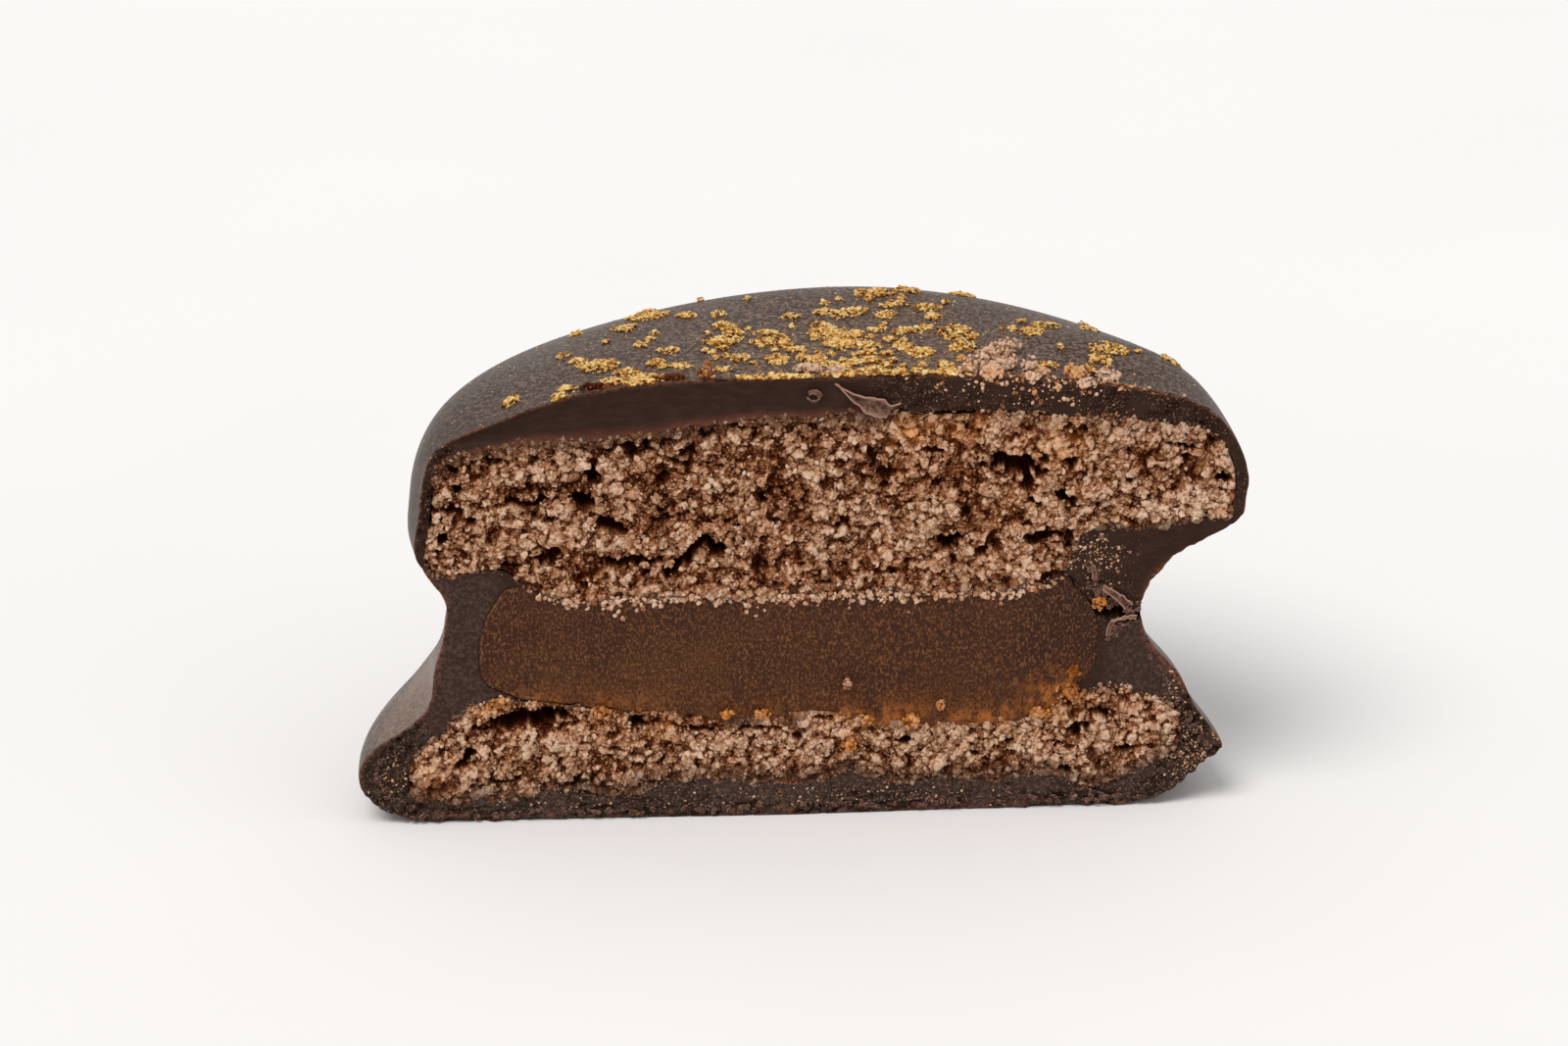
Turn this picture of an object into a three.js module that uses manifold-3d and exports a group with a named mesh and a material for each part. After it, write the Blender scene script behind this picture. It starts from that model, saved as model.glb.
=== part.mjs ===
// Half of a chocolate-coated alfajor, cut straight down through its middle: two cocoa biscuits
// hold a disc of caramel filling, dark chocolate coats them all round, and dabs of gold dust lie on top.
// Millimetres, +Z up. The half stands on its flat base, and its cut face looks towards -Y.
import * as THREE from "three";
import { ImprovedNoise } from "three/addons/math/ImprovedNoise.js";
import { mergeVertices } from "three/addons/utils/BufferGeometryUtils.js";
import Module from "manifold-3d";

// Driving dimensions of the whole cookie that the half is cut from.
const BASE_RADIUS = 25; // of the flat that it stands on
const FOOT_RADIUS = 30; // out to the lip where the chocolate pooled round the base
const WAIST_RADIUS = 23.9; // in the groove between the biscuits
const BULGE_RADIUS = 28.75; // round the upper biscuit
const HEIGHT = 32;
const UPPER_SHIFT = 2.1; // the upper biscuit sits this far off centre, towards +X
const LEAN_FROM = 14; // the coating leans over to follow it between these two heights
const LEAN_TO = 19.5;

// The layers, from the base up. The chocolate on top has the height that is left.
const BASE_COAT = 2.4;
const LOWER_BISCUIT_THICKNESS = 5.1;
const FILLING_THICKNESS = 9.6;
const UPPER_BISCUIT_THICKNESS = 11.5;
const SIDE_COAT = 1.45; // chocolate round the edge of the upper biscuit
const GAP = 0.3; // clearance between neighbouring solids

// Facets of one whole turn, and of each curved stretch of an outline.
const COATING_FACETS = 64;
const LAYER_FACETS = 40;
const CURVE_STEPS = 5;

// Landmarks of the coating's outline, from the base to the crown. Each has a radius, a height, the
// outline's heading there in degrees (0 outwards, 90 up, 180 inwards), and how far the curves on
// either side of it reach out along that heading.
const coatingLandmarks = {
  baseEdge: { radius: BASE_RADIUS, height: 0, heading: 0, before: 0, after: 2.6 },
  lip: { radius: FOOT_RADIUS, height: 3.8, heading: 96, before: 1.9, after: 2 },
  waist: { radius: WAIST_RADIUS, height: 14.5, heading: 90, before: 4, after: 2 },
  brow: { radius: 26.8, height: 19, heading: 30, before: 1.7, after: 1.5 },
  bulge: { radius: BULGE_RADIUS, height: 23.3, heading: 90, before: 2.2, after: 3.9 },
  shoulder: { radius: 21.3, height: HEIGHT - 1.8, heading: 160, before: 5.4, after: 5.5 },
  crown: { radius: 0, height: HEIGHT, heading: 180, before: 8, after: 0 },
};

// Hand-dipped unevenness of the coating.
const SWELL = 0.18; // in and out round the rim, in three broad waves and five small ones
const BROW_DROOP = 0.45; // how far the edge over the groove sags in places
const BROW_BAND = 3; // half the height of the band that sags
const RIPPLE = 0.45; // a soft ridge round the lower biscuit, away from the cut
const RIPPLE_HEIGHT = 9.5;
const RIPPLE_BAND = 1.6; // half the height of the ridge

// The broken crumb on the biscuits' cut faces.
const CRAG_SIZE = 2.3;
const CRAG_DEPTH = 0.75;
const CRAG_SINK = 0.35; // how far the crumb lies behind the cut, on average
const CRAG_GRID = 1.3;

// Gold dust, dabbed on the crown with a brush.
const DAB_COUNT = 100; // round the whole crown, of which about half are on this side of the cut
const DAB_REACH = 22.5; // radius of the dusted patch
const DAB_CROWDING = 0.6; // an even spread is 0.5, and more crowds the middle
const DAB_RADIUS = { most: 1.9, least: 0.6 };
const DAB_DWINDLE = 0.7; // under 1 the sizes fall off quickly, so that few dabs are large
const DAB_CORNER = { least: 0.6, most: 1.2 }; // how far the corners reach, of the radius
const DAB_STRETCH = 0.5; // the most that a dab is longer than it is wide
const DAB_PROUD = 0.28;
const DAB_SIDES = 7;
const DAB_CLEAR_OF_CUT = 0.4;
const GOLDEN_ANGLE = Math.PI * (3 - Math.sqrt(5));
const GOLDEN_SHARE = (Math.sqrt(5) - 1) / 2;

// Each layer is a disc with elliptical corners, so much off the middle towards +X.
const lowerBiscuit = {
  radius: 27,
  bottom: BASE_COAT,
  top: BASE_COAT + LOWER_BISCUIT_THICKNESS,
  lowCorner: { across: 4, up: 2.5 },
  highCorner: { across: 3.5, up: 2.5 },
  shift: 0.6,
};
const upperBiscuit = {
  radius: BULGE_RADIUS - SIDE_COAT,
  bottom: lowerBiscuit.top + FILLING_THICKNESS,
  top: lowerBiscuit.top + FILLING_THICKNESS + UPPER_BISCUIT_THICKNESS,
  lowCorner: { across: 9, up: 6.4 },
  highCorner: { across: 9, up: 5 },
  shift: UPPER_SHIFT,
};
const filling = {
  radius: 21.2,
  bottom: lowerBiscuit.top + GAP,
  top: upperBiscuit.bottom - GAP,
  lowCorner: { across: 3.6, up: 4.2 },
  highCorner: { across: 3.6, up: 4.2 },
  shift: 0,
};

const chocolate = new THREE.MeshStandardMaterial({ color: 0x3a2a24, roughness: 0.48, metalness: 0 });
const cocoaCrumb = new THREE.MeshStandardMaterial({ color: 0x7d5a45, roughness: 0.95, metalness: 0 });
const caramel = new THREE.MeshStandardMaterial({ color: 0x4f3121, roughness: 0.4, metalness: 0 });

const wasm = await Module();
wasm.setup();
const noise = new ImprovedNoise();

// A number from 0 to 1 that looks random but is always the same for the same pair.
function draw(index, channel) {
  const value = Math.sin(index * 12.9898 + channel * 78.233) * 43758.5453;
  return value - Math.floor(value);
}

// A soft bump: 1 at the middle, and nearly 0 at twice the band away.
function bump(value, middle, band) {
  return Math.exp(-(((value - middle) / band) ** 2));
}

// A closed geometry as a solid that can be joined and cut.
function solidOf(geometry) {
  const bare = geometry.clone().deleteAttribute("normal").deleteAttribute("uv");
  const merged = mergeVertices(bare, 1e-4);
  return new wasm.Manifold(
    new wasm.Mesh({
      numProp: 3,
      vertProperties: merged.getAttribute("position").array,
      triVerts: new Uint32Array(merged.index.array),
    }),
  );
}

function geometryOf(solid) {
  const { vertProperties, triVerts } = solid.getMesh();
  return new THREE.BufferGeometry()
    .setAttribute("position", new THREE.BufferAttribute(vertProperties, 3))
    .setIndex(new THREE.BufferAttribute(triVerts, 1));
}

// Turns an outline of radius and height, from the bottom of the axis to its top, about +Z.
function turned(outline, facets) {
  return new THREE.LatheGeometry(outline, facets).rotateX(Math.PI / 2);
}

// Where the outline's curve reaches to when it leaves a landmark, or with a negative reach comes to it.
function handle(landmark, reach) {
  const heading = THREE.MathUtils.degToRad(landmark.heading);
  return [landmark.radius + reach * Math.cos(heading), landmark.height + reach * Math.sin(heading)];
}

// Half the coating's outline: flat base, lip, flare up to the waist, overhanging brow, bulge and crown.
function coatingOutline() {
  const [start, ...others] = Object.values(coatingLandmarks);
  const path = new THREE.Path().moveTo(0, 0).lineTo(start.radius, start.height);
  let last = start;
  for (const next of others) {
    const leaving = handle(last, last.after);
    const coming = handle(next, -next.before);
    path.bezierCurveTo(...leaving, ...coming, next.radius, next.height);
    last = next;
  }
  return path.getPoints(CURVE_STEPS);
}

// Half a layer's outline. Grown, it is the room that the layer needs.
function layerOutline(layer, grow) {
  const radius = layer.radius + grow;
  const bottom = layer.bottom - grow;
  const top = layer.top + grow;
  const { lowCorner: low, highCorner: high } = layer;
  const path = new THREE.Path()
    .moveTo(0, bottom)
    .lineTo(radius - low.across, bottom)
    .absellipse(radius - low.across, bottom + low.up, low.across, low.up, -Math.PI / 2, 0)
    .absellipse(radius - high.across, top - high.up, high.across, high.up, 0, Math.PI / 2)
    .lineTo(0, top);
  const points = path.getPoints(CURVE_STEPS);
  return points.filter((point, i) => i === 0 || point.distanceTo(points[i - 1]) > 1e-3);
}

// Leans, swells and sags the turned coating as dipping by hand does. The base stays flat.
function unevenCoating(geometry) {
  const position = geometry.getAttribute("position");
  for (let i = 0; i < position.count; i++) {
    const [x, y, z] = [position.getX(i), position.getY(i), position.getZ(i)];
    const angle = Math.atan2(y, x);
    const radius = Math.hypot(x, y);
    const outward = radius / FOOT_RADIUS; // 0 on the axis, so that the crown stays smooth
    const away = Math.sin(angle) ** 2; // 0 at the cut, where the outline is true
    const ripple = RIPPLE * away * bump(z, RIPPLE_HEIGHT, RIPPLE_BAND);
    const swell = SWELL * (Math.sin(3 * angle + 0.8) + 0.6 * Math.sin(5 * angle + 2.1));
    const grown = radius + outward * (swell + ripple);
    const nearBrow = outward * bump(z, coatingLandmarks.brow.height, BROW_BAND);
    const sag = BROW_DROOP * nearBrow * away * (Math.sin(2 * angle + 0.9) - 1);
    const lean = UPPER_SHIFT * THREE.MathUtils.smoothstep(z, LEAN_FROM, LEAN_TO);
    position.setXYZ(i, Math.cos(angle) * grown + lean, Math.sin(angle) * grown, z + sag);
  }
  return geometry;
}

// The room in front of the cut plane, with a flat face.
function frontRoom() {
  const size = 4 * FOOT_RADIUS;
  return solidOf(new THREE.BoxGeometry(size, size, size).translate(0, -size / 2, 0));
}

// The room in front of a biscuit's cut face, whose face is broken crumb. The patch is the depth in
// the noise that this biscuit's crumb is read at.
function crumblyRoom(layer, patch) {
  const width = 2 * (layer.radius + CRAG_SIZE);
  const height = layer.top - layer.bottom + 2 * CRAG_SIZE;
  const depth = 2 * FOOT_RADIUS;
  const columns = Math.round(width / CRAG_GRID);
  const rows = Math.round(height / CRAG_GRID);
  const box = new THREE.BoxGeometry(width, depth, height, columns, 1, rows);
  const position = box.getAttribute("position");
  for (let i = 0; i < position.count; i++) {
    if (position.getY(i) < 0) continue;
    const [x, z] = [position.getX(i) / CRAG_SIZE, position.getZ(i) / CRAG_SIZE];
    const coarse = noise.noise(x, 1.3 * z, patch);
    const fine = noise.noise(2.1 * x, 2.6 * z, patch + 7.5);
    position.setY(i, position.getY(i) + CRAG_SINK + CRAG_DEPTH * (coarse + fine / 2));
  }
  return solidOf(box.translate(layer.shift, -depth / 2, (layer.bottom + layer.top) / 2));
}

// A whole layer, grown all round by so much.
function layerSolid(layer, grow = 0) {
  return solidOf(turned(layerOutline(layer, grow), LAYER_FACETS).translate(layer.shift, 0, 0));
}

// One dab of gold dust: a low uneven patch, lying flat at the origin and sunk halfway.
function dabGeometry(index, radius) {
  const turn = 2 * Math.PI * draw(index, 2);
  const stretch = 1 + DAB_STRETCH * draw(index, 3);
  const corners = Array.from({ length: DAB_SIDES }, (_, side) => {
    const reach = radius * THREE.MathUtils.lerp(DAB_CORNER.least, DAB_CORNER.most, draw(index, 10 + side));
    const angle = (2 * Math.PI * side) / DAB_SIDES;
    return new THREE.Vector2(stretch * reach * Math.cos(angle), reach * Math.sin(angle));
  });
  const settings = { depth: 2 * DAB_PROUD, bevelEnabled: false };
  return new THREE.ExtrudeGeometry(new THREE.Shape(corners), settings)
    .translate(0, 0, -DAB_PROUD)
    .rotateZ(turn);
}

// The dabs on this side of the cut, largest first, on a spiral that spreads them over the crown.
function goldDabs(coating) {
  const surface = new THREE.Mesh(coating);
  const up = new THREE.Vector3(0, 0, 1);
  const down = new THREE.Vector3(0, 0, -1);
  const dabs = [];
  for (let i = 0; i < DAB_COUNT; i++) {
    const share = (i / DAB_COUNT) ** DAB_DWINDLE;
    const radius = THREE.MathUtils.lerp(DAB_RADIUS.most, DAB_RADIUS.least, share);
    const order = (i * GOLDEN_SHARE) % 1; // mixes large and small dabs along the spiral
    const reach = DAB_REACH * order ** DAB_CROWDING;
    const angle = GOLDEN_ANGLE * Math.round(order * DAB_COUNT) + 0.7 * draw(i, 1);
    const x = UPPER_SHIFT + reach * Math.cos(angle);
    const y = reach * Math.sin(angle);
    const clear = DAB_CORNER.most * (1 + DAB_STRETCH) * radius + DAB_CLEAR_OF_CUT;
    if (y < clear) continue;
    const ray = new THREE.Raycaster(new THREE.Vector3(x, y, 2 * HEIGHT), down);
    const { point, face } = ray.intersectObject(surface)[0];
    const lie = new THREE.Quaternion().setFromUnitVectors(up, face.normal);
    const dab = dabGeometry(i, radius).applyQuaternion(lie).translate(point.x, point.y, point.z);
    dabs.push(solidOf(dab));
  }
  return dabs;
}

function coatingSolid() {
  const outside = unevenCoating(turned(coatingOutline(), COATING_FACETS));
  let solid = solidOf(outside);
  for (const layer of [lowerBiscuit, filling, upperBiscuit]) {
    solid = solid.subtract(layerSolid(layer, GAP));
  }
  return goldDabs(outside).reduce((whole, dab) => whole.add(dab), solid.subtract(frontRoom()));
}

function biscuitSolid(layer, patch) {
  return layerSolid(layer).subtract(crumblyRoom(layer, patch));
}

function node(name, solid, material) {
  const mesh = new THREE.Mesh(geometryOf(solid), material);
  mesh.name = name;
  return mesh;
}

const halfCookie = new THREE.Group();
halfCookie.add(
  node("chocolate_coating", coatingSolid(), chocolate),
  node("lower_biscuit", biscuitSolid(lowerBiscuit, 3.1), cocoaCrumb),
  node("caramel_filling", layerSolid(filling).subtract(frontRoom()), caramel),
  node("upper_biscuit", biscuitSolid(upperBiscuit, 8.6), cocoaCrumb),
);

// The origin is the middle of the half's own footprint, on the surface that it stands on.
const extent = new THREE.Box3().setFromObject(halfCookie);
const centre = extent.getCenter(new THREE.Vector3());
halfCookie.position.set(-centre.x, -centre.y, -extent.min.z);

const alfajor = new THREE.Group();
alfajor.add(halfCookie);

export default alfajor;
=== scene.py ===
"""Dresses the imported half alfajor: its coating, biscuits, filling, gold dust and crumbs.

Every piece is modelled in the cookie's own frame, in millimetres: X runs across the cut, Y behind it
and Z up, with the cookie's axis at X = 0 and the cut at Y = 0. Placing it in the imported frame, in
metres, is the last step of each piece.
"""

import logging
import math
import random
from collections.abc import Callable, Iterable, Iterator, Sequence
from dataclasses import dataclass, field
from enum import Enum

import bmesh
import bpy
from bpy.types import Material, Mesh, NodeSocket, Object
from mathutils import Matrix, Vector, noise
from mathutils.bvhtree import BVHTree

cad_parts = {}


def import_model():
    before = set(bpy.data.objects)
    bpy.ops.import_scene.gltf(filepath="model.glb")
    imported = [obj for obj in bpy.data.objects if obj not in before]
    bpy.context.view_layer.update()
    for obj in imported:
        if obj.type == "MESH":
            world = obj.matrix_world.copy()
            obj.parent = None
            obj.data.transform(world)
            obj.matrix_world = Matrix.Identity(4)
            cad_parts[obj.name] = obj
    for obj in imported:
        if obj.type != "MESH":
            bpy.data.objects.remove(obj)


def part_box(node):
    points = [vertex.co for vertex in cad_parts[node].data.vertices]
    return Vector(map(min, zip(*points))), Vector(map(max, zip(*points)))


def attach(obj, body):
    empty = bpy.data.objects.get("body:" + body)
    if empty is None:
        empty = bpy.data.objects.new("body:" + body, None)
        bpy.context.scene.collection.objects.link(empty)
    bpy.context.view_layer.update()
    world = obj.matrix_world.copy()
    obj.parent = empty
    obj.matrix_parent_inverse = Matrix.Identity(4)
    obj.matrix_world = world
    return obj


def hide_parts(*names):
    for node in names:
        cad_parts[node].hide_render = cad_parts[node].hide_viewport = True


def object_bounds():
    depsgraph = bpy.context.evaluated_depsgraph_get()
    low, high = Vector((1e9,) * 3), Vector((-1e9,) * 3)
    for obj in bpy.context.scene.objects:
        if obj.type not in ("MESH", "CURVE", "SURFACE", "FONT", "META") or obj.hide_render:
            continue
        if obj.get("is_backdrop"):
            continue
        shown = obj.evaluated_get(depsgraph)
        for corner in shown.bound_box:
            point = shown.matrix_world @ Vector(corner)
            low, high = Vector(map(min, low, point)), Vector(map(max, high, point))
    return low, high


log = logging.getLogger("alfajor")

MM = 0.001  # metres in a millimetre
BODY = "root"
ON_CUT = 1e-4  # a vertex this near the cut plane lies on it
WELD = 1e-4  # vertices this near each other are one
FAINT = 0.004  # a push or a border weaker than this isn't felt
UP = Vector((0, 0, 1))
FORWARD = Vector((0, -1, 0))  # out of the cut, towards the front

Color = tuple[float, float, float, float]
Point = tuple[float, float]
Line = Callable[[float], Point]
Hit = tuple[Vector, Vector]  # a place on a surface, and the surface's normal there


# ------------------------------
# Small sums
# ------------------------------


def lerp(start: float, end: float, share: float) -> float:
    """Returns the number that lies so far of the way from start to end."""
    return start + (end - start) * share


def clamp(value: float) -> float:
    """Returns the value held between 0 and 1."""
    return min(1.0, max(0.0, value))


def smooth(value: float, low: float, high: float) -> float:
    """Returns 0 below low and 1 above high, with a soft step between."""
    share = clamp((value - low) / (high - low))
    return share * share * (3 - 2 * share)


def bump(value: float, middle: float, band: float) -> float:
    """Returns 1 at the middle, and nearly 0 at twice the band away."""
    return math.exp(-(((value - middle) / band) ** 2))


def draw(index: int, channel: int) -> float:
    """Returns a number from 0 to 1 that looks random but is always the same for the same pair."""
    value = math.sin(index * 12.9898 + channel * 78.233) * 43758.5453
    return value - math.floor(value)


def ripple(x: float, y: float, z: float, size: float, patch: float = 0.0) -> float:
    """Returns smooth noise from about -0.8 to 0.8.

    Args:
        x: Place across, in millimetres.
        y: Place behind the cut.
        z: Height.
        size: Size of the noise's swells, in millimetres.
        patch: Which patch of the noise is read, so that two uses don't match.
    """
    return noise.noise(Vector((x / size + patch, y / size - patch, z / size + 2 * patch)))


def paint(red: int, green: int, blue: int) -> Color:
    """Returns a display colour, each channel from 0 to 255, as the linear one that a shader takes."""

    def linear(channel: int) -> float:
        """Returns one channel made linear."""
        share = channel / 255
        return share / 12.92 if share <= 0.04045 else ((share + 0.055) / 1.055) ** 2.4

    return (linear(red), linear(green), linear(blue), 1.0)


# ------------------------------
# The cookie's form, the same as the solids have
# ------------------------------

FOOT_RADIUS = 30.0
HEIGHT = 32.0
UPPER_SHIFT = 2.1  # the upper biscuit sits this far off the axis, towards +X
LEAN_FROM = 14.0
LEAN_TO = 19.5
SWELL = 0.18
BROW_DROOP = 0.45
BROW_HEIGHT = 19.0
BROW_BAND = 3.0
RIDGE = 0.45
RIDGE_HEIGHT = 9.5
RIDGE_BAND = 1.6
GAP = 0.3  # the solids' clearance, which the pieces here fill but for a hair
SNUG = 0.13  # how far each layer grows into the clearance


@dataclass(frozen=True)
class CookieFrame:
    """Where the cookie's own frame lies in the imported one.

    Attributes:
        axis_x: The cookie's axis across, in metres.
        cut_y: The cut plane, in metres.
    """

    axis_x: float
    cut_y: float

    @classmethod
    def from_nodes(cls) -> "CookieFrame":
        """Reads the axis and the cut from the filling, which is centred and flat-faced."""
        low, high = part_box("caramel_filling")
        return cls(axis_x=(low.x + high.x) / 2, cut_y=low.y)

    @property
    def placing(self) -> Matrix:
        """The matrix from the cookie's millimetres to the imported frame's metres."""
        return Matrix.Translation((self.axis_x, self.cut_y, 0)) @ Matrix.Scale(MM, 4)


@dataclass(frozen=True)
class Corner:
    """An elliptical corner of a layer: how far it reaches across and up, in millimetres."""

    across: float
    up: float

    def rise(self, reach: float) -> float:
        """Returns how far the corner has risen at so far into it across."""
        share = clamp(reach / self.across)
        return self.up * (1 - math.sqrt(1 - share * share))


@dataclass(frozen=True)
class Layer:
    """A disc with elliptical corners, seen as its section.

    Attributes:
        radius: Outer radius.
        bottom: Height of its underside.
        top: Height of its upper side.
        low: The corner at the underside.
        high: The corner at the upper side.
        shift: How far its middle is off the cookie's axis, towards +X.
    """

    radius: float
    bottom: float
    top: float
    low: Corner
    high: Corner
    shift: float

    @classmethod
    def from_node(
        cls, frame: CookieFrame, node: str, corners: tuple[Corner, Corner], grow: float
    ) -> "Layer":
        """Reads a layer's size and place from its solid.

        Args:
            frame: Where the cookie lies.
            node: The solid's name.
            corners: The corners at the underside and at the upper side.
            grow: How far the layer is grown all round.

        Returns:
            The layer, in the cookie's millimetres.
        """
        lowest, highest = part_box(node)
        return cls(
            radius=(highest.x - lowest.x) / 2 / MM + grow,
            bottom=lowest.z / MM - grow,
            top=highest.z / MM + grow,
            low=corners[0],
            high=corners[1],
            shift=((lowest.x + highest.x) / 2 - frame.axis_x) / MM,
        )

    def floor_at(self, reach: float) -> float:
        """Returns the underside's height at a distance from the layer's middle."""
        return self.bottom + self.low.rise(abs(reach) - self.radius + self.low.across)

    def roof_at(self, reach: float) -> float:
        """Returns the upper side's height at a distance from the layer's middle."""
        return self.top - self.high.rise(abs(reach) - self.radius + self.high.across)

    def low_arc(self, share: float) -> Point:
        """Returns a point of the lower corner, from the flat underside out to the tip."""
        angle = share * math.pi / 2
        across = self.radius - self.low.across * (1 - math.sin(angle))
        return across, self.bottom + self.low.up * (1 - math.cos(angle))

    def high_arc(self, share: float) -> Point:
        """Returns a point of the upper corner, from the tip in to the flat upper side."""
        angle = share * math.pi / 2
        across = self.radius - self.high.across * (1 - math.cos(angle))
        return across, self.top - self.high.up * (1 - math.sin(angle))


LOWER_CORNERS = (Corner(4.0, 2.5), Corner(3.5, 2.5))
FILLING_CORNERS = (Corner(3.6, 4.2), Corner(3.6, 4.2))
UPPER_CORNERS = (Corner(9.0, 6.4), Corner(9.0, 5.0))


@dataclass(frozen=True)
class Landmark:
    """A named point of the coating's outline.

    Attributes:
        radius: Distance from the axis.
        height: Height.
        heading: The outline's direction in degrees: 0 outwards, 90 up, 180 inwards.
        before: How far the curve that comes in follows that heading.
        after: How far the curve that goes out follows it.
    """

    radius: float
    height: float
    heading: float
    before: float
    after: float

    def reach(self, length: float) -> Vector:
        """Returns the point that lies so far along the heading."""
        angle = math.radians(self.heading)
        return Vector((self.radius + length * math.cos(angle), self.height + length * math.sin(angle)))


BASE_EDGE = Landmark(25.0, 0.0, 0.0, 0.0, 2.6)
LIP = Landmark(FOOT_RADIUS, 3.8, 96.0, 1.9, 2.0)
WAIST = Landmark(23.9, 14.5, 90.0, 4.0, 2.0)
BROW = Landmark(26.8, BROW_HEIGHT, 30.0, 1.7, 1.5)
BULGE = Landmark(28.75, 23.3, 90.0, 2.2, 3.9)
SHOULDER = Landmark(21.3, HEIGHT - 1.8, 160.0, 5.4, 5.5)
CROWN = Landmark(0.0, HEIGHT, 180.0, 8.0, 0.0)


def curve(start: Landmark, end: Landmark, first: float = 0.0, last: float = 1.0) -> Line:
    """Draws the outline between two landmarks.

    Args:
        start: The landmark that it comes from.
        end: The landmark that it goes to.
        first: Share of the way at which the line starts.
        last: Share of the way at which it ends.

    Returns:
        The line between those two shares.
    """
    points = (start.reach(0), start.reach(start.after), end.reach(-end.before), end.reach(0))

    def line(share: float) -> Point:
        """Returns the point at a share of the line."""
        t = lerp(first, last, share)
        weights = ((1 - t) ** 3, 3 * (1 - t) ** 2 * t, 3 * (1 - t) * t * t, t**3)
        place = sum((weight * point for weight, point in zip(weights, points)), Vector((0, 0)))
        return place.x, place.y

    return line


def straight(start: Point, end: Point) -> Line:
    """Returns the straight line between two points of the section."""
    return lambda share: (lerp(start[0], end[0], share), lerp(start[1], end[1], share))


def part(line: Line, first: float, last: float) -> Line:
    """Returns the part of a line between two shares of the way along it."""
    return lambda share: line(lerp(first, last, share))


def uneven(radius: float, angle: float, height: float, inner: float, shift: float) -> Vector:
    """Leans, swells and sags a turned point of the coating as dipping by hand does.

    Args:
        radius: Distance from the axis.
        angle: Turn about the axis, 0 at +X.
        height: Height.
        inner: 0 on the outside, 1 on the inside against a layer.
        shift: How far off the axis that layer sits.

    Returns:
        The point's place.
    """
    outer = 1 - inner
    outward = outer * radius / FOOT_RADIUS
    away = math.sin(angle) ** 2
    ridge = RIDGE * away * bump(height, RIDGE_HEIGHT, RIDGE_BAND)
    swell = SWELL * (math.sin(3 * angle + 0.8) + 0.6 * math.sin(5 * angle + 2.1))
    grown = radius + outward * (swell + ridge)
    droop = BROW_DROOP * outward * bump(height, BROW_HEIGHT, BROW_BAND)
    sag = droop * away * (math.sin(2 * angle + 0.9) - 1)
    lean = UPPER_SHIFT * smooth(height, LEAN_FROM, LEAN_TO)
    across = math.cos(angle) * grown + outer * lean + inner * shift
    return Vector((across, math.sin(angle) * grown, height + sag))


# ------------------------------
# How the layers and the coating gave way by a millimetre or two
# ------------------------------


@dataclass(frozen=True)
class Push:
    """A place where the section is pressed out of its even form.

    Attributes:
        x: Its middle across.
        z: Its middle's height.
        across: How far it presses across.
        up: How far it presses up.
        wide: How far across it is felt.
        high: How far up and down it is felt.
        behind: How far behind the cut it is felt.
    """

    x: float
    z: float
    across: float
    up: float
    wide: float
    high: float
    behind: float = 11.0

    def at(self, x: float, z: float, y: float = 0.0) -> Vector:
        """Returns the push at a height and a place across, so far behind the cut."""
        strength = bump(x, self.x, self.wide)
        if strength < FAINT:
            return Vector((0, 0, 0))
        strength *= bump(z, self.z, self.high) * bump(y, 0, self.behind)
        return Vector((self.across * strength, 0, self.up * strength))


@dataclass(frozen=True)
class Border:
    """A line between two layers on the cut, which wanders up and down.

    Attributes:
        level: Its height where it doesn't wander.
        spread: How far above and below it the layers follow.
        knots: Places across, each with how far up the border lies there.
        rising: Whether only what lies above it follows.
    """

    level: float
    spread: float
    knots: tuple[Point, ...]
    rising: bool = False

    FADE = 0.8  # how far below its level a rising border still moves what it meets

    def at(self, x: float, z: float) -> float:
        """Returns how far up a point near the border is moved.

        Args:
            x: The point's place across.
            z: Its height.
        """
        strength = bump(z, self.level, self.spread)
        if strength < FAINT:
            return 0.0
        if self.rising and z < self.level:
            strength *= smooth(z, self.level - self.FADE, self.level)
        for (left, low), (right, high) in zip(self.knots, self.knots[1:]):
            if x <= right:
                return strength * lerp(low, high, smooth(x, left, right))
        return strength * self.knots[-1][1]


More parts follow.
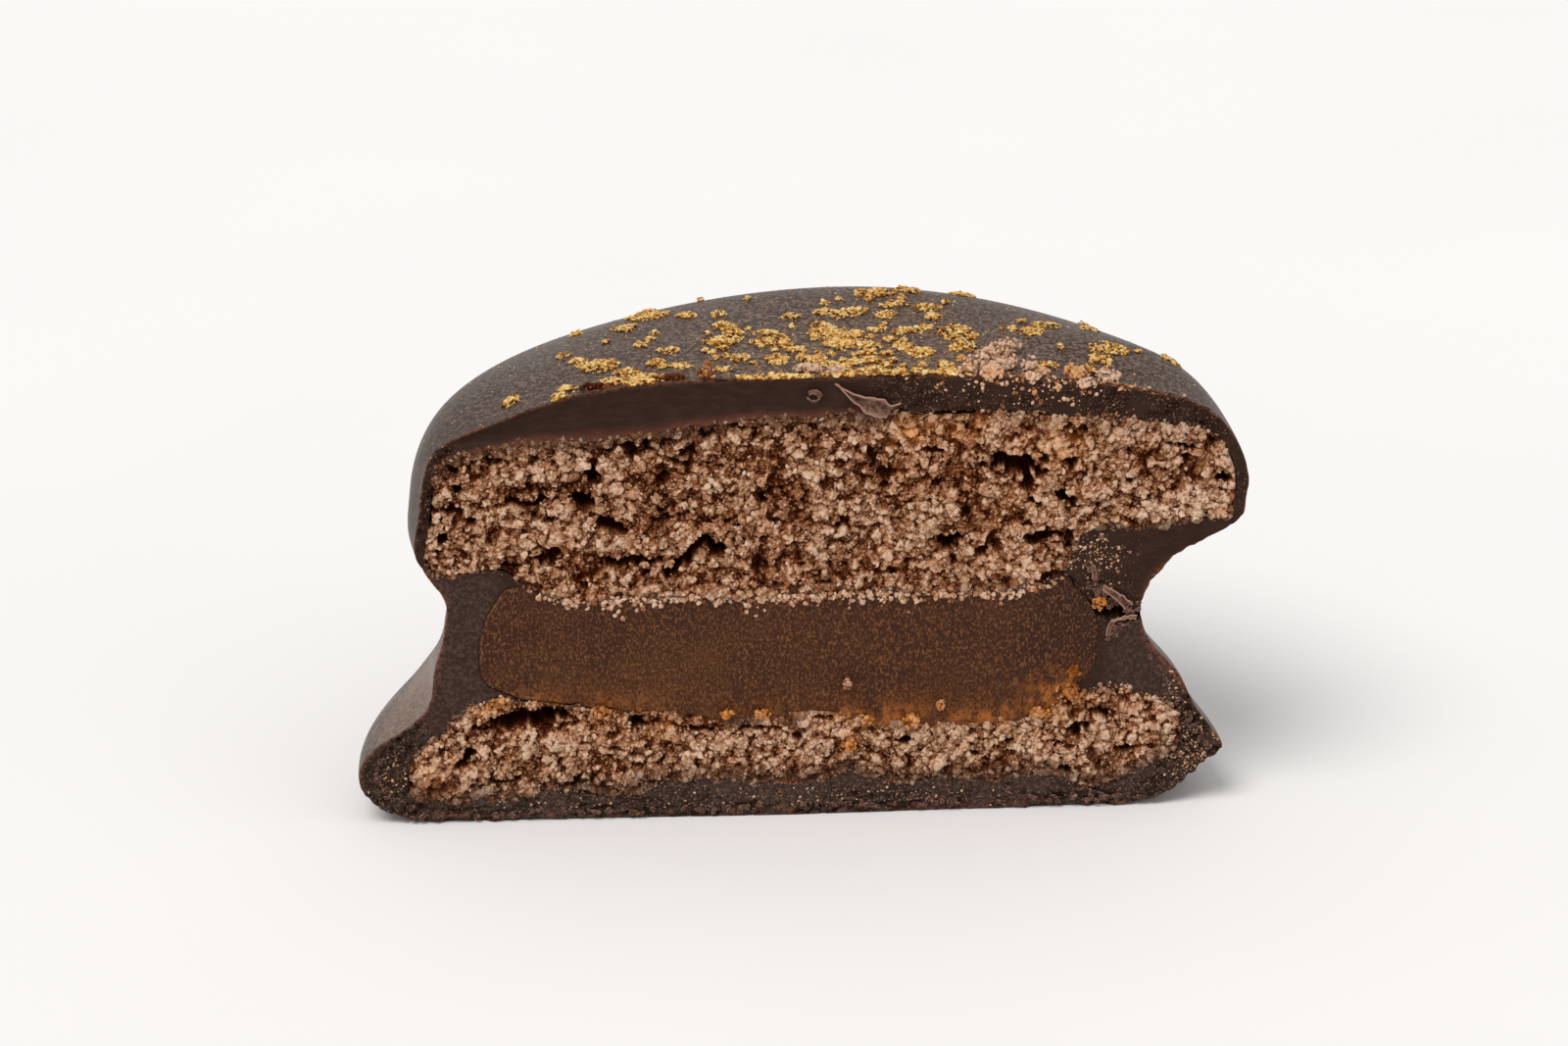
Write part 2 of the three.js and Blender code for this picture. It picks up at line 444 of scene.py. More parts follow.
BORDERS = (
    Border(2.4, 1.5, (
        (-27, 1.0), (-25.5, 0), (-23, -0.7), (-20, -0.5), (-17, -0.1), (-12, -0.3), (-8.7, 0.4),
        (-5.3, 0.7), (-1, 0.2), (2.6, 0.2), (4.2, 1.2), (5.8, 0.6), (7.8, -0.3), (11, 0.2), (13, -0.1),
        (17, 0.2), (18.9, 0), (20.2, -1.1), (22, -0.4), (24.4, 0.4), (26.2, 1.2),
    )),
    Border(7.65, 1.9, (
        (-26, -1.4), (-24.4, -1.1), (-23, 0.1), (-22, 1.0), (-20, 1.5), (-16.4, 1.1), (-13, 0.6),
        (-9.8, 0.3), (-4.2, -0.4), (0, -0.9), (2.2, 0), (4.4, -0.2), (6.7, -1.2), (11.6, -1.4),
        (15.6, -1.2), (17.8, -0.4), (20, 0.9), (23.1, 1.4), (24.4, 0.5), (26.7, 0.5),
    )),
    Border(16.95, 1.8, (
        (-20, 0.7), (-18.5, 0.3), (-16.5, -0.4), (-14, -0.75), (-6, -0.7), (-2, -0.85), (6, -0.7),
        (14, -0.85), (17.5, -0.5), (19, 0),
    )),
    Border(28.65, 2.2, (
        (-24.5, 0.5), (-23, -0.6), (-20, -0.8), (-17, -1.0), (-13, -1.05), (-10, -0.8), (-6, -0.1),
        (-2, 0.3), (4, 0.5), (13, 0.45), (17, 0.2), (20, -0.1), (27, 0),
    )),
    Border(17.0, 4.4, (
        (17.2, 0), (18.2, 0.1), (19.0, 0.7), (19.6, 2.0), (20.2, 3.3), (21, 3.6), (22.5, 3.55), (24, 3.2),
        (26, 2.7), (27.6, 2.2), (28.8, 0.9), (30, 0),
    ), rising=True),  # the thick wedge under the right end
)
SEAM_PUSHES = (
    Push(-23.9, 19.9, -0.8, -1.5, 2.0, 2.2),  # the left end's low, square corner
    Push(-19.3, 17.6, 0, 0.5, 1.3, 1.6),
    Push(-25.6, 23.5, 0.8, 0, 2.6, 2.6),
    Push(29.8, 23.6, 1.15, -0.2, 2.6, 3.4),  # the right end's blunt tip
    Push(28.6, 26.2, 0.1, 1.1, 2.6, 2.4),  # where the crumb fills the shoulder
    Push(28.6, 20.6, 0.9, 0.2, 1.6, 1.6),
    Push(27.6, 4.5, -0.6, 0, 2.0, 2.0),
    Push(-26.4, 5.3, 0.3, -0.9, 1.3, 1.7),
    Push(-25.4, 3.2, -0.5, -1.0, 1.5, 1.2),
)
OUTLINE_PUSHES = (
    Push(-24.2, 18.0, -1.2, 0, 3.0, 1.6),  # the left groove starts lower down
    Push(28.2, 19.4, -1.9, -0.1, 4.0, 1.7),  # the right one cuts in further
    Push(30.4, 21.0, 0.5, 0, 2.6, 0.9),
    Push(25.8, 17.0, -0.6, 0, 3.0, 2.1),
    Push(24.4, 14.4, 0.25, 0, 2.0, 1.8),
    Push(30.8, 23.6, 0.5, 0, 3.0, 3.0),
    Push(27.0, 29.0, 0.8, 0.65, 5.5, 3.2),  # the right shoulder is the fuller one
    Push(26.5, 10.0, 0.9, 0, 3.0, 2.4),
    Push(-25.6, 20.0, -0.5, 0, 3.0, 1.8),
    Push(-27.5, 9.6, 1.3, 0, 2.8, 2.2),
    Push(-27.0, 6.8, 0.5, 0, 2.4, 1.3),
    Push(-27.6, 7.8, 0.8, 0, 3.0, 2.1, behind=3.0),  # the knife drew the flank in below the groove
    Push(-20.0, 29.6, 0.2, -0.55, 7.0, 3.4),  # the left one hangs lower
    Push(-26.0, 25.5, 0.5, 0, 3.0, 4.4),
    Push(-26.4, 23.0, 0.85, 0, 3.0, 4.8, behind=2.4),  # the knife drew the left end in
    Push(30.5, 0.8, -0.3, 1.8, 4.5, 2.6, behind=7.0),  # the right foot's underside slopes up
)
SHOULDER_RING = 22.0  # radius of the ring in which the dome is fuller behind the cut
SHOULDER_BAND = 7.5  # how far in and out of that ring it is felt
SHOULDER_LIFT = (0.35, 1.45)  # how far it is lifted on the left and on the right


def seam_warp(x: float, z: float) -> Vector:
    """Returns how far the line between two layers wanders at a point of the cut, across and up."""
    low = 1 - smooth(z, 3.4, 4.8)
    wide = lerp(0.2, 0.42, low)
    across = 0.2 * ripple(x, 0, z, 1.9, 3.3)
    up = wide * ripple(x, 0, z, 1.7, 8.1) + 0.16 * ripple(x, 0, z, 0.6, 5.2)
    warp = Vector((across, 0, up + sum(border.at(x, z) for border in BORDERS)))
    return sum((push.at(x, z) for push in SEAM_PUSHES), warp)


def outline_warp(place: Vector) -> Vector:
    """Returns how far the coating's outside gives way at a place."""
    x, y, z = place
    reach = math.hypot(x - UPPER_SHIFT, y)
    ring = bump(reach, SHOULDER_RING, SHOULDER_BAND) * smooth(y, 0, 8) * smooth(z, 24, 28)
    dome = lerp(*SHOULDER_LIFT, smooth(x, -16, 10)) * ring
    return sum((push.at(x, z, y) for push in OUTLINE_PUSHES), Vector((0, 0, dome)))


# ------------------------------
# Materials
# ------------------------------


class Shade:
    """One material's nodes, made from left to right on Object coordinates."""

    def __init__(self, name: str) -> None:
        """Starts an empty material with its Principled shader."""
        self.material: Material = bpy.data.materials.new(name)
        self.material.use_nodes = True
        self.nodes = self.material.node_tree.nodes
        self.links = self.material.node_tree.links
        self.shader = self.nodes["Principled BSDF"]
        self.place = self.nodes.new("ShaderNodeTexCoord").outputs["Object"]

    def _feed(self, socket: NodeSocket, value: object) -> None:
        """Links a socket to another, or sets its value."""
        if isinstance(value, NodeSocket):
            self.links.new(value, socket)
        else:
            socket.default_value = value

    def stretched(self, across: float, behind: float, up: float) -> NodeSocket:
        """Returns coordinates stretched along each axis."""
        node = self.nodes.new("ShaderNodeMapping")
        self._feed(node.inputs["Vector"], self.place)
        node.inputs["Scale"].default_value = (across, behind, up)
        return node.outputs["Vector"]

    def noise(
        self, size: float, detail: float = 3, rough: float = 0.55, place: NodeSocket | None = None
    ) -> NodeSocket:
        """Returns noise.

        Args:
            size: Size of its swells, in millimetres.
            detail: How many finer layers it has.
            rough: How much the finer layers count.
            place: The coordinates that it is read at, if not the object's own.
        """
        node = self.nodes.new("ShaderNodeTexNoise")
        self._feed(node.inputs["Vector"], place or self.place)
        node.inputs["Scale"].default_value = 1 / (size * MM)
        node.inputs["Detail"].default_value = detail
        node.inputs["Roughness"].default_value = rough
        return node.outputs["Fac"]

    def attribute(self, name: str) -> NodeSocket:
        """Returns a number that the piece's vertices carry."""
        node = self.nodes.new("ShaderNodeAttribute")
        node.attribute_name = name
        return node.outputs["Fac"]

    def math(self, operation: str, first: object, second: object = 0.0) -> NodeSocket:
        """Returns the outcome of one sum, held between 0 and 1."""
        node = self.nodes.new("ShaderNodeMath")
        node.operation = operation
        node.use_clamp = True
        self._feed(node.inputs[0], first)
        self._feed(node.inputs[1], second)
        return node.outputs[0]

    def step(
        self, value: NodeSocket, low: float, high: float, start: float = 0.0, end: float = 1.0
    ) -> NodeSocket:
        """Returns start where the value is below low and end above high, with a soft step between."""
        node = self.nodes.new("ShaderNodeMapRange")
        node.interpolation_type = "SMOOTHSTEP"
        self._feed(node.inputs["Value"], value)
        numbers = {"From Min": low, "From Max": high, "To Min": start, "To Max": end}
        for name, number in numbers.items():
            node.inputs[name].default_value = number
        return node.outputs["Result"]

    def ramp(self, value: NodeSocket, stops: Sequence[tuple[float, Color]]) -> NodeSocket:
        """Returns the colour that a ramp has at the value."""
        node = self.nodes.new("ShaderNodeValToRGB")
        self._feed(node.inputs["Fac"], value)
        elements = node.color_ramp.elements
        while len(elements) < len(stops):
            elements.new(0.5)
        for element, (position, color) in zip(elements, stops):
            element.position = position
            element.color = color
        return node.outputs["Color"]

    def mix(self, share: object, first: object, second: object, blend: str = "MIX") -> NodeSocket:
        """Returns two colours mixed.

        Args:
            share: Share of the second, as a number or a socket.
            first: The first colour, as a colour or a socket.
            second: The second one.
            blend: How they are mixed.
        """
        node = self.nodes.new("ShaderNodeMix")
        node.data_type = "RGBA"
        node.blend_type = blend
        self._feed(node.inputs["Factor"], share)
        colors = [socket for socket in node.inputs if socket.type == "RGBA"]
        self._feed(colors[0], first)
        self._feed(colors[1], second)
        return next(socket for socket in node.outputs if socket.type == "RGBA")

    def relief(self, height: NodeSocket, depth: float, over: NodeSocket | None = None) -> NodeSocket:
        """Returns a bumped normal.

        Args:
            height: The bumps' height, from 0 to 1.
            depth: How deep that full range is, in millimetres.
            over: The normal that they are laid over, if not the surface's own.
        """
        node = self.nodes.new("ShaderNodeBump")
        node.inputs["Distance"].default_value = depth * MM
        self._feed(node.inputs["Height"], height)
        if over:
            self._feed(node.inputs["Normal"], over)
        return node.outputs["Normal"]

    def finish(self, **sockets: object) -> Material:
        """Feeds the shader's sockets, named with underscores for spaces, and returns the material."""
        for name, value in sockets.items():
            self._feed(self.shader.inputs[name.replace("_", " ")], value)
        return self.material


@dataclass(frozen=True)
class ChocolateFinish:
    """Dark chocolate: satin where it set against the air, duller and streaked where the knife went.

    Attributes:
        skin: Colour of the set surface.
        cut: Colour of the cut surface.
        streak: Colour of the cut surface's paler streaks.
        melt: Colour of the cut surface where it melted into the biscuit.
        fleck: Colour of the paler flecks where it broke.
        rim: Colour of the thin edge round the cut.
        haze_and_sheen: Colour of the pale bloom that the gold brush left, also painted on the left foot as
            its sheen.
        gilt: Colour of the finest gold dust on the crown.
        satin: Roughness of the set surface.
        dull: Roughness of the cut surface.
    """

    skin: Color = paint(53, 35, 27)
    cut: Color = paint(45, 27, 18)
    streak: Color = paint(58, 37, 27)
    melt: Color = paint(96, 54, 38)
    fleck: Color = paint(176, 132, 106)
    rim: Color = paint(124, 74, 52)
    haze_and_sheen: Color = paint(138, 116, 102)
    gilt: Color = paint(172, 122, 64)
    satin: float = 0.44
    dull: float = 0.62

    def make(self) -> Material:
        """Returns the material."""
        shade = Shade("dark_chocolate")
        on_cut = shade.attribute("cut")
        broken = shade.attribute("broken")
        rim = shade.attribute("rim")
        dusty = shade.step(shade.noise(0.3, 4, 0.75), 0.44, 0.62)
        # The haze attribute holds the skin's pale bloom and, on the left foot, a painted sheen.
        bloom = shade.attribute("haze_and_sheen")
        dusty = shade.math("ADD", dusty, shade.step(bloom, 0.75, 1.0, 0, 0.5))
        skin = shade.mix(shade.math("MULTIPLY", bloom, dusty), self.skin, self.haze_and_sheen)
        gilding = shade.step(shade.noise(0.3, 4, 0.75), 0.5, 0.62, 0, 0.7)
        skin = shade.mix(shade.math("MULTIPLY", shade.attribute("gilt"), gilding), skin, self.gilt)
        streaks = shade.noise(0.6, 4, 0.6, shade.stretched(0.45, 1, 1.4))
        cut = shade.mix(shade.step(streaks, 0.35, 0.75), self.cut, self.streak)
        cut = shade.mix(shade.attribute("warm"), cut, self.melt)
        color = shade.mix(on_cut, skin, cut)
        specks = shade.step(shade.noise(0.16, 3, 0.6), 0.56, 0.66)
        color = shade.mix(shade.math("MULTIPLY", specks, broken), color, self.fleck)
        ragged = shade.step(shade.noise(0.3, 3, 0.6), 0.36, 0.58)
        color = shade.mix(shade.math("MULTIPLY", rim, ragged), color, self.rim)
        rougher = shade.step(broken, 0, 1, 0, 0.2)
        roughness = shade.math("ADD", shade.step(on_cut, 0, 1, self.satin, self.dull), rougher)
        gloss = shade.step(on_cut, 0, 1, 0.2, 0)
        grain = shade.relief(shade.noise(0.2, 4, 0.65), 0.035)
        swells = shade.relief(shade.noise(2.4, 2, 0.5), 0.05, grain)
        crumbled = shade.math("MULTIPLY", shade.noise(0.26, 5, 0.7), broken)
        normal = shade.relief(crumbled, 0.34, swells)
        return shade.finish(
            Base_Color=color, Roughness=roughness, Normal=normal, Specular_IOR_Level=0.13,
            Coat_Weight=gloss, Coat_Roughness=0.42,
        )


@dataclass(frozen=True)
class CrumbFinish:
    """Broken cocoa biscuit: pale, pinkish grains with painted highlights, over depths darkened with painted
    shade, and soaked with fat near its top and underside.

    Attributes:
        name: The material's name.
        deep: Colour down in the pores, painted shade.
        shade: Colour between the grains, partly painted shade.
        middle: Colour of the body.
        pale: Colour of the grains that stand out, partly a painted highlight on their tops.
        tip: Colour of the palest grit, and of the painted highlights on the grains' tops.
        blush: Warmer tint of some clumps.
        soaked: Colour where fat has soaked in.
        amber: Colour where caramel has soaked in.
        amber_shade: The same, between the grains.
    """

    name: str
    deep: Color = paint(56, 15, 1)
    shade: Color = paint(118, 67, 37)
    middle: Color = paint(180, 132, 96)
    pale: Color = paint(224, 190, 163)
    tip: Color = paint(255, 244, 228)
    blush: Color = (1.0, 0.84, 0.72, 1.0)
    soaked: Color = paint(74, 47, 35)
    amber: Color = paint(226, 148, 62)
    amber_shade: Color = paint(150, 82, 28)

    def make(self) -> Material:
        """Returns the material."""
        shade = Shade(self.name)
        tone = shade.attribute("tone")
        grit = shade.step(shade.noise(0.16, 3, 0.7), 0.34, 0.66, 0.1, 0.4)
        # The height picks the ramp's colour: painted shade in the pores and between the grains, painted
        # highlights on the grains' tops, with the grit's noise laid over it.
        height = shade.math("SUBTRACT", shade.math("ADD", tone, grit), 0.25)
        colors = (self.deep, self.shade, self.middle, self.pale, self.tip)
        color = shade.ramp(height, list(zip((0.0, 0.25, 0.5, 0.74, 1.0), colors)))
        clumps = shade.step(shade.noise(2.2, 3, 0.55), 0.44, 0.66, 0, 0.5)
        color = shade.mix(clumps, color, shade.mix(1.0, color, self.blush, "MULTIPLY"))
        color = shade.mix(shade.attribute("soak"), color, self.soaked)
        lit = shade.mix(shade.step(height, 0.2, 0.8), self.amber_shade, self.amber)
        color = shade.mix(shade.attribute("amber"), color, lit)
        normal = shade.relief(shade.noise(0.12, 4, 0.7), 0.08)
        return shade.finish(Base_Color=color, Roughness=0.8, Normal=normal, Specular_IOR_Level=0.06)


@dataclass(frozen=True)
class CaramelFinish:
    """Caramel filling cut with a knife: fine-grained, with a low gloss and an amber lower edge.

    Attributes:
        body: Colour of the filling.
        cloud: Colour of its paler clouds.
        grain: Colour of its fine grain.
        dark: Colour of its right end.
        amber: Colour of the clear edge against the lower biscuit.
        syrup: Colour where that edge is clearest.
        line: Colour of the dried line round its end.
        scratch: Colour of the knife's fine scratches.
    """

    body: Color = paint(64, 32, 14)
    cloud: Color = paint(86, 50, 24)
    grain: Color = paint(124, 80, 48)
    dark: Color = paint(48, 25, 15)
    amber: Color = paint(118, 64, 22)
    syrup: Color = paint(184, 108, 44)
    line: Color = paint(132, 98, 74)
    scratch: Color = paint(138, 98, 66)

    def make(self) -> Material:
        """Returns the material."""
        shade = Shade("caramel")
        peel = shade.noise(0.18, 3, 0.65, shade.stretched(1.3, 1, 0.8))
        cloudy = shade.step(shade.noise(4, 2, 0.5), 0.3, 0.7)
        clouds = shade.math("MULTIPLY", cloudy, shade.attribute("cloud"))
        color = shade.mix(clouds, self.body, self.cloud)
        color = shade.mix(shade.attribute("dark"), color, self.dark)
        glow = shade.attribute("glow")
        color = shade.mix(glow, color, self.amber)
        color = shade.mix(shade.step(glow, 0.5, 1.2, 0, 0.85), color, self.syrup)
        color = shade.mix(shade.step(peel, 0.36, 0.5, 0.8, 0), color, self.dark)
        color = shade.mix(shade.step(peel, 0.5, 0.66, 0, 0.9), color, self.grain)
        scratches = shade.noise(0.26, 2, 0.5, shade.stretched(2.4, 1, 0.09))
        scratch = shade.math("MULTIPLY", shade.step(scratches, 0.66, 0.8), shade.attribute("scratch"))
        color = shade.mix(scratch, color, self.scratch)
        color = shade.mix(shade.attribute("line"), color, self.line)
        fine = shade.relief(peel, 0.07)
        return shade.finish(Base_Color=color, Roughness=0.52, Normal=fine, Specular_IOR_Level=0.16)


@dataclass(frozen=True)
class FlakeFinish:
    """Broken chocolate with a pinkish bloom, as on curled shards and chips.

    Attributes:
        dark: Colour of its hollows.
        bloom: Colour of its dusty faces.
        edge: Colour of its worn edges.
        tan: Colour of its stray paler specks.
    """

    dark: Color = paint(68, 42, 33)
    bloom: Color = paint(122, 90, 77)
    edge: Color = paint(196, 148, 124)
    tan: Color = paint(186, 138, 100)

    def make(self) -> Material:
        """Returns the material."""
        shade = Shade("bloomed_chocolate")
        dusty = shade.step(shade.noise(0.35, 4, 0.6), 0.38, 0.62)
        color = shade.mix(dusty, self.dark, self.bloom)
        color = shade.mix(shade.attribute("worn"), color, self.edge)
        tan = shade.step(shade.noise(0.16, 2, 0.5), 0.6, 0.68, 0, 0.6)
        color = shade.mix(tan, color, self.tan)
        normal = shade.relief(shade.noise(0.25, 4, 0.6), 0.08)
        return shade.finish(Base_Color=color, Roughness=0.66, Normal=normal, Specular_IOR_Level=0.3)


@dataclass(frozen=True)
class GoldFinish:
    """Edible gold dust: warm, grainy and duller than metal, with painted highlights on its grains and
    painted shade between them.

    Attributes:
        bright: Painted highlight, on the grains that catch the light.
        body: Colour of most of it.
        deep: Painted shade, between the grains.
    """

    bright: Color = paint(255, 234, 168)
    body: Color = paint(240, 166, 57)
    deep: Color = paint(110, 44, 2)

    def make(self) -> Material:
        """Returns the material."""
        shade = Shade("gold_dust")
        # Noise grains and each flake's tone pick the ramp's colour: painted shade, body colour or painted
        # highlight.
        grains = shade.step(shade.noise(0.28, 4, 0.7), 0.42, 0.58, 0, 0.76)
        height = shade.math("ADD", grains, shade.math("SUBTRACT", shade.attribute("tone"), 0.39))
        color = shade.ramp(height, [(0.0, self.deep), (0.45, self.body), (1.0, self.bright)])
        normal = shade.relief(shade.noise(0.13, 4, 0.7), 0.12)
        return shade.finish(
            Base_Color=color, Metallic=0.4, Roughness=0.36, Normal=normal, Specular_IOR_Level=0.15
        )


@dataclass(frozen=True)
class FloorFinish:
    """A plain pale sheet of card, barely mottled.

    Attributes:
        card: Its colour.
        shade: Its slightly darker mottling.
    """

    card: Color = (0.955, 0.943, 0.935, 1.0)
    shade: Color = (0.94, 0.928, 0.92, 1.0)

    def make(self) -> Material:
        """Returns the material."""
        shade = Shade("pale_card")
        mottle = shade.step(shade.noise(60, 2, 0.5), 0.3, 0.7)
        color = shade.mix(mottle, self.card, self.shade)
        return shade.finish(Base_Color=color, Roughness=0.9, Specular_IOR_Level=0.15)


# ------------------------------
# Making and placing meshes
# ------------------------------


def baked(bm: bmesh.types.BMesh, name: str) -> Mesh:
    """Returns a new mesh with all that the bmesh holds, and frees the bmesh."""
    mesh = bpy.data.meshes.new(name)
    bm.to_mesh(mesh)
    bm.free()
    return mesh


def add_layers(bm: bmesh.types.BMesh, *names: str) -> list[bmesh.types.BMLayerItem]:
    """Returns new layers, each a number that every vertex carries under that name."""
    return [bm.verts.layers.float.new(name) for name in names]


def gathered(meshes: Iterable[Mesh], *names: str) -> bmesh.types.BMesh:
    """Joins meshes into one, and removes them.

    Args:
        meshes: What is joined.
        names: The numbers that their vertices carry.

    Returns:
        All of them as one mesh.
    """
    whole = bmesh.new()
    add_layers(whole, *names)
    for mesh in meshes:
        whole.from_mesh(mesh)
        bpy.data.meshes.remove(mesh)
    return whole


def spin_half(bm: bmesh.types.BMesh, line: Sequence[bmesh.types.BMEdge], steps: int) -> None:
    """Spins a line half round the cookie's axis, in so many faces."""
    bmesh.ops.spin(
        bm, geom=line, cent=(0, 0, 0), axis=UP, dvec=(0, 0, 0), angle=math.pi, steps=steps
    )


def seal(bm: bmesh.types.BMesh) -> None:
    """Welds what meets, and turns every face outwards."""
    bmesh.ops.remove_doubles(bm, verts=bm.verts, dist=WELD)
    bmesh.ops.recalc_face_normals(bm, faces=bm.faces)


def put_in_scene(name: str, data: bpy.types.ID) -> Object:
    """Returns a new object of the data, put in the scene."""
    thing = bpy.data.objects.new(name, data)
    bpy.context.scene.collection.objects.link(thing)
    return thing


class Shading(Enum):
    """How a piece's faces meet."""

    SMOOTH = "smooth"
    FACETED = "faceted"
    CREASED = "creased"  # smooth, but sharp where it turns by more than CREASE_ANGLE


CREASE_ANGLE = math.radians(48)


@dataclass(frozen=True)
class Pieces:
    """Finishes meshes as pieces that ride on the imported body.

    Attributes:
        frame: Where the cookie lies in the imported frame.
    """

    frame: CookieFrame

    def add(
        self,
        bm: bmesh.types.BMesh,
        name: str,
        material: Material,
        slot: str,
        replaces: Sequence[str] = (),
        shading: Shading = Shading.SMOOTH,
    ) -> Object:
        """Places a mesh, dresses it and lets it ride.

        Args:
            bm: The mesh, in the cookie's millimetres. It is freed.
            name: The piece's name.
            material: Its finish.
            slot: A material slot's name, which is not used.
            replaces: The solids that it stands for.
            shading: How its faces meet.

        Returns:
            The piece.
        """
        bmesh.ops.transform(bm, matrix=self.frame.placing, verts=bm.verts)
        mesh = baked(bm, name)
        if shading is not Shading.FACETED:
            mesh.shade_smooth()
        if shading is Shading.CREASED:
            mesh.set_sharp_from_angle(angle=CREASE_ANGLE)
        mesh.materials.append(material)
        piece = put_in_scene(name, mesh)
        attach(piece, BODY)
        if replaces:
            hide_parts(*replaces)
        triangles = sum(len(polygon.vertices) - 2 for polygon in mesh.polygons)
        log.info("%s: %d triangles", name, triangles)
        return piece


class Shape(Enum):
    """The shapes of small scattered things."""

    PEBBLE = "pebble"  # a rounded lump of 20 faces
    SPECK = "speck"  # the smallest, of 8 faces


@dataclass(frozen=True)
class Look:
    """How one small thing looks, each number from 0 to 1.

    Attributes:
        tone: How pale it is. On biscuit grains and gold flakes it also holds painted highlight and shade.
        soak: How much fat it holds.
        amber: How much caramel it holds.
    """

    tone: float = 0.6
    soak: float = 0.0
    amber: float = 0.0


LOOK_LAYERS = ("tone", "soak", "amber")


class Scatter:
    """Many small things of one kind, gathered in small batches and joined once at the end.

    Attributes:
        BATCH: How many go in a batch, because making one slows with what its mesh holds already.
    """

    BATCH = 50

    def __init__(self, shape: Shape, seed: int) -> None:
        """Starts empty, with its own seeded draws."""
        self.shape = shape
        self.rng = random.Random(seed)
        self.batches: list[Mesh] = []
        self.count = 0
        self._start()

    def _start(self) -> None:
        """Opens a batch."""
        self.batch = bmesh.new()
        self.layers = add_layers(self.batch, *LOOK_LAYERS)

    def _close(self) -> None:
        """Puts the batch by."""
        self.batches.append(baked(self.batch, "batch"))

    def _solid(self) -> list[bmesh.types.BMVert]:
        """Adds one shape of radius 1 to the batch and returns its vertices."""
        if self.shape is Shape.PEBBLE:
            return bmesh.ops.create_icosphere(self.batch, subdivisions=1, radius=1)["verts"]
        return bmesh.ops.create_uvsphere(self.batch, u_segments=4, v_segments=2, radius=1)["verts"]

    def add(
        self,
        place: Vector,
        normal: Vector,
        size: float,
        look: Look = Look(),
        flat: float = 0.8,
        lumpy: float = 0.28,
    ) -> None:
        """Adds one thing.

        Args:
            place: Its middle.
            normal: The direction that it lies flat against.
            size: Its radius.
            look: How it looks.
            flat: Its thickness as a share of its width.
            lumpy: How far its surface strays, as a share of the radius.
        """
        lie = UP.rotation_difference(normal).to_matrix().to_4x4()
        spin = Matrix.Rotation(self.rng.uniform(0, 2 * math.pi), 4, "Z")
        tilt = Matrix.Rotation(self.rng.uniform(-0.5, 0.5), 4, "X")
        wide = self.rng.uniform(0.8, 1.25)
        form = Matrix.Diagonal((size * wide, size / wide, size * flat, 1))
        matrix = Matrix.Translation(place) @ lie @ spin @ tilt @ form
        values = (look.tone, look.soak, look.amber)
        for vert in self._solid():
            vert.co = matrix @ (vert.co * (1 + self.rng.uniform(-lumpy, lumpy)))
            for layer, value in zip(self.layers, values):
                vert[layer] = value
        self.count += 1
        if self.count % self.BATCH == 0:
            self._close()
            self._start()

    def joined(self) -> bmesh.types.BMesh:
        """Returns everything as one mesh."""
        self._close()
        whole = gathered(self.batches, *LOOK_LAYERS)
        bmesh.ops.recalc_face_normals(whole, faces=whole.faces)
        return whole


@dataclass(frozen=True)
class Surface:
    """A finished mesh that small things are laid on, in the cookie's millimetres."""

    tree: BVHTree

    @classmethod
    def of(cls, bm: bmesh.types.BMesh) -> "Surface":
        """Keeps the form of a mesh before it is placed."""
        return cls(BVHTree.FromBMesh(bm))

    def _hit(self, start: Vector, way: Vector) -> Hit | None:
        """Returns where a ray meets the surface, and the normal there."""
        place, normal, _, _ = self.tree.ray_cast(start, way)
        return (place, normal) if place else None

    def from_above(self, x: float, y: float) -> Hit | None:
        """Returns the highest point over a place, and its normal."""
        return self._hit(Vector((x, y, 2 * HEIGHT)), -UP)

    def from_front(self, x: float, z: float) -> Hit | None:
        """Returns the foremost point at a place of the cut, and its normal."""
        return self._hit(Vector((x, -HEIGHT, z)), -FORWARD)

    def from_side(self, angle: float, z: float) -> Hit | None:
        """Returns the outermost point at a turn about the axis and a height, and its normal."""
        out = Vector((math.cos(angle), math.sin(angle), 0))
        return self._hit(2 * FOOT_RADIUS * out + Vector((0, 0, z)), -out)


def section_reach(share: float, radius: float) -> float:
    """Returns how far across a column of a cut face lies, with the columns closer near its ends."""
    even = 0.7
    return radius * (even * share + (1 - even) * math.sin(share * math.pi / 2))


def cut_disc(layer: Layer, columns: int, rows: int, turn_steps: int) -> bmesh.types.BMesh:
    """Makes half a layer: a fine grid over its cut face, and its outline spun round behind it.

    Args:
        layer: The layer.
        columns: Faces across the cut, an even number.
        rows: Faces up the cut.
        turn_steps: Faces of the half turn behind it.

    Returns:
        A closed mesh, centred on the layer's own middle.
    """
    bm = bmesh.new()
    bmesh.ops.create_grid(bm, x_segments=columns, y_segments=rows, size=1)
    for vert in bm.verts:
        reach = section_reach(vert.co.x, layer.radius)
        share = (vert.co.y + 1) / 2
        vert.co = (reach, 0, lerp(layer.floor_at(reach), layer.roof_at(reach), share))
    right_rim = [
        edge for edge in bm.edges
        if edge.is_boundary and min(vert.co.x for vert in edge.verts) > -ON_CUT
    ]
    spin_half(bm, right_rim, turn_steps)
    seal(bm)
    return bm


# ------------------------------
# The coating
# ------------------------------


@dataclass(frozen=True)
class Stretch:
    """A stretch of the coating's wall, seen in section.

    Attributes:
        outer: Its line on the outside.
        inner: Its line against the layers.
        steps: How many faces it has along.
        shift: How far off the axis the layer inside sits, at its start and its end.
    """

    outer: Line
    inner: Line
    steps: int
    shift: Point

    def stations(self) -> Iterator[tuple[Point, Point, float]]:
        """Yields the outer point, the inner point and the shift at each step, without the last."""
        for step in range(self.steps):
            share = step / self.steps
            yield self.outer(share), self.inner(share), lerp(*self.shift, share)


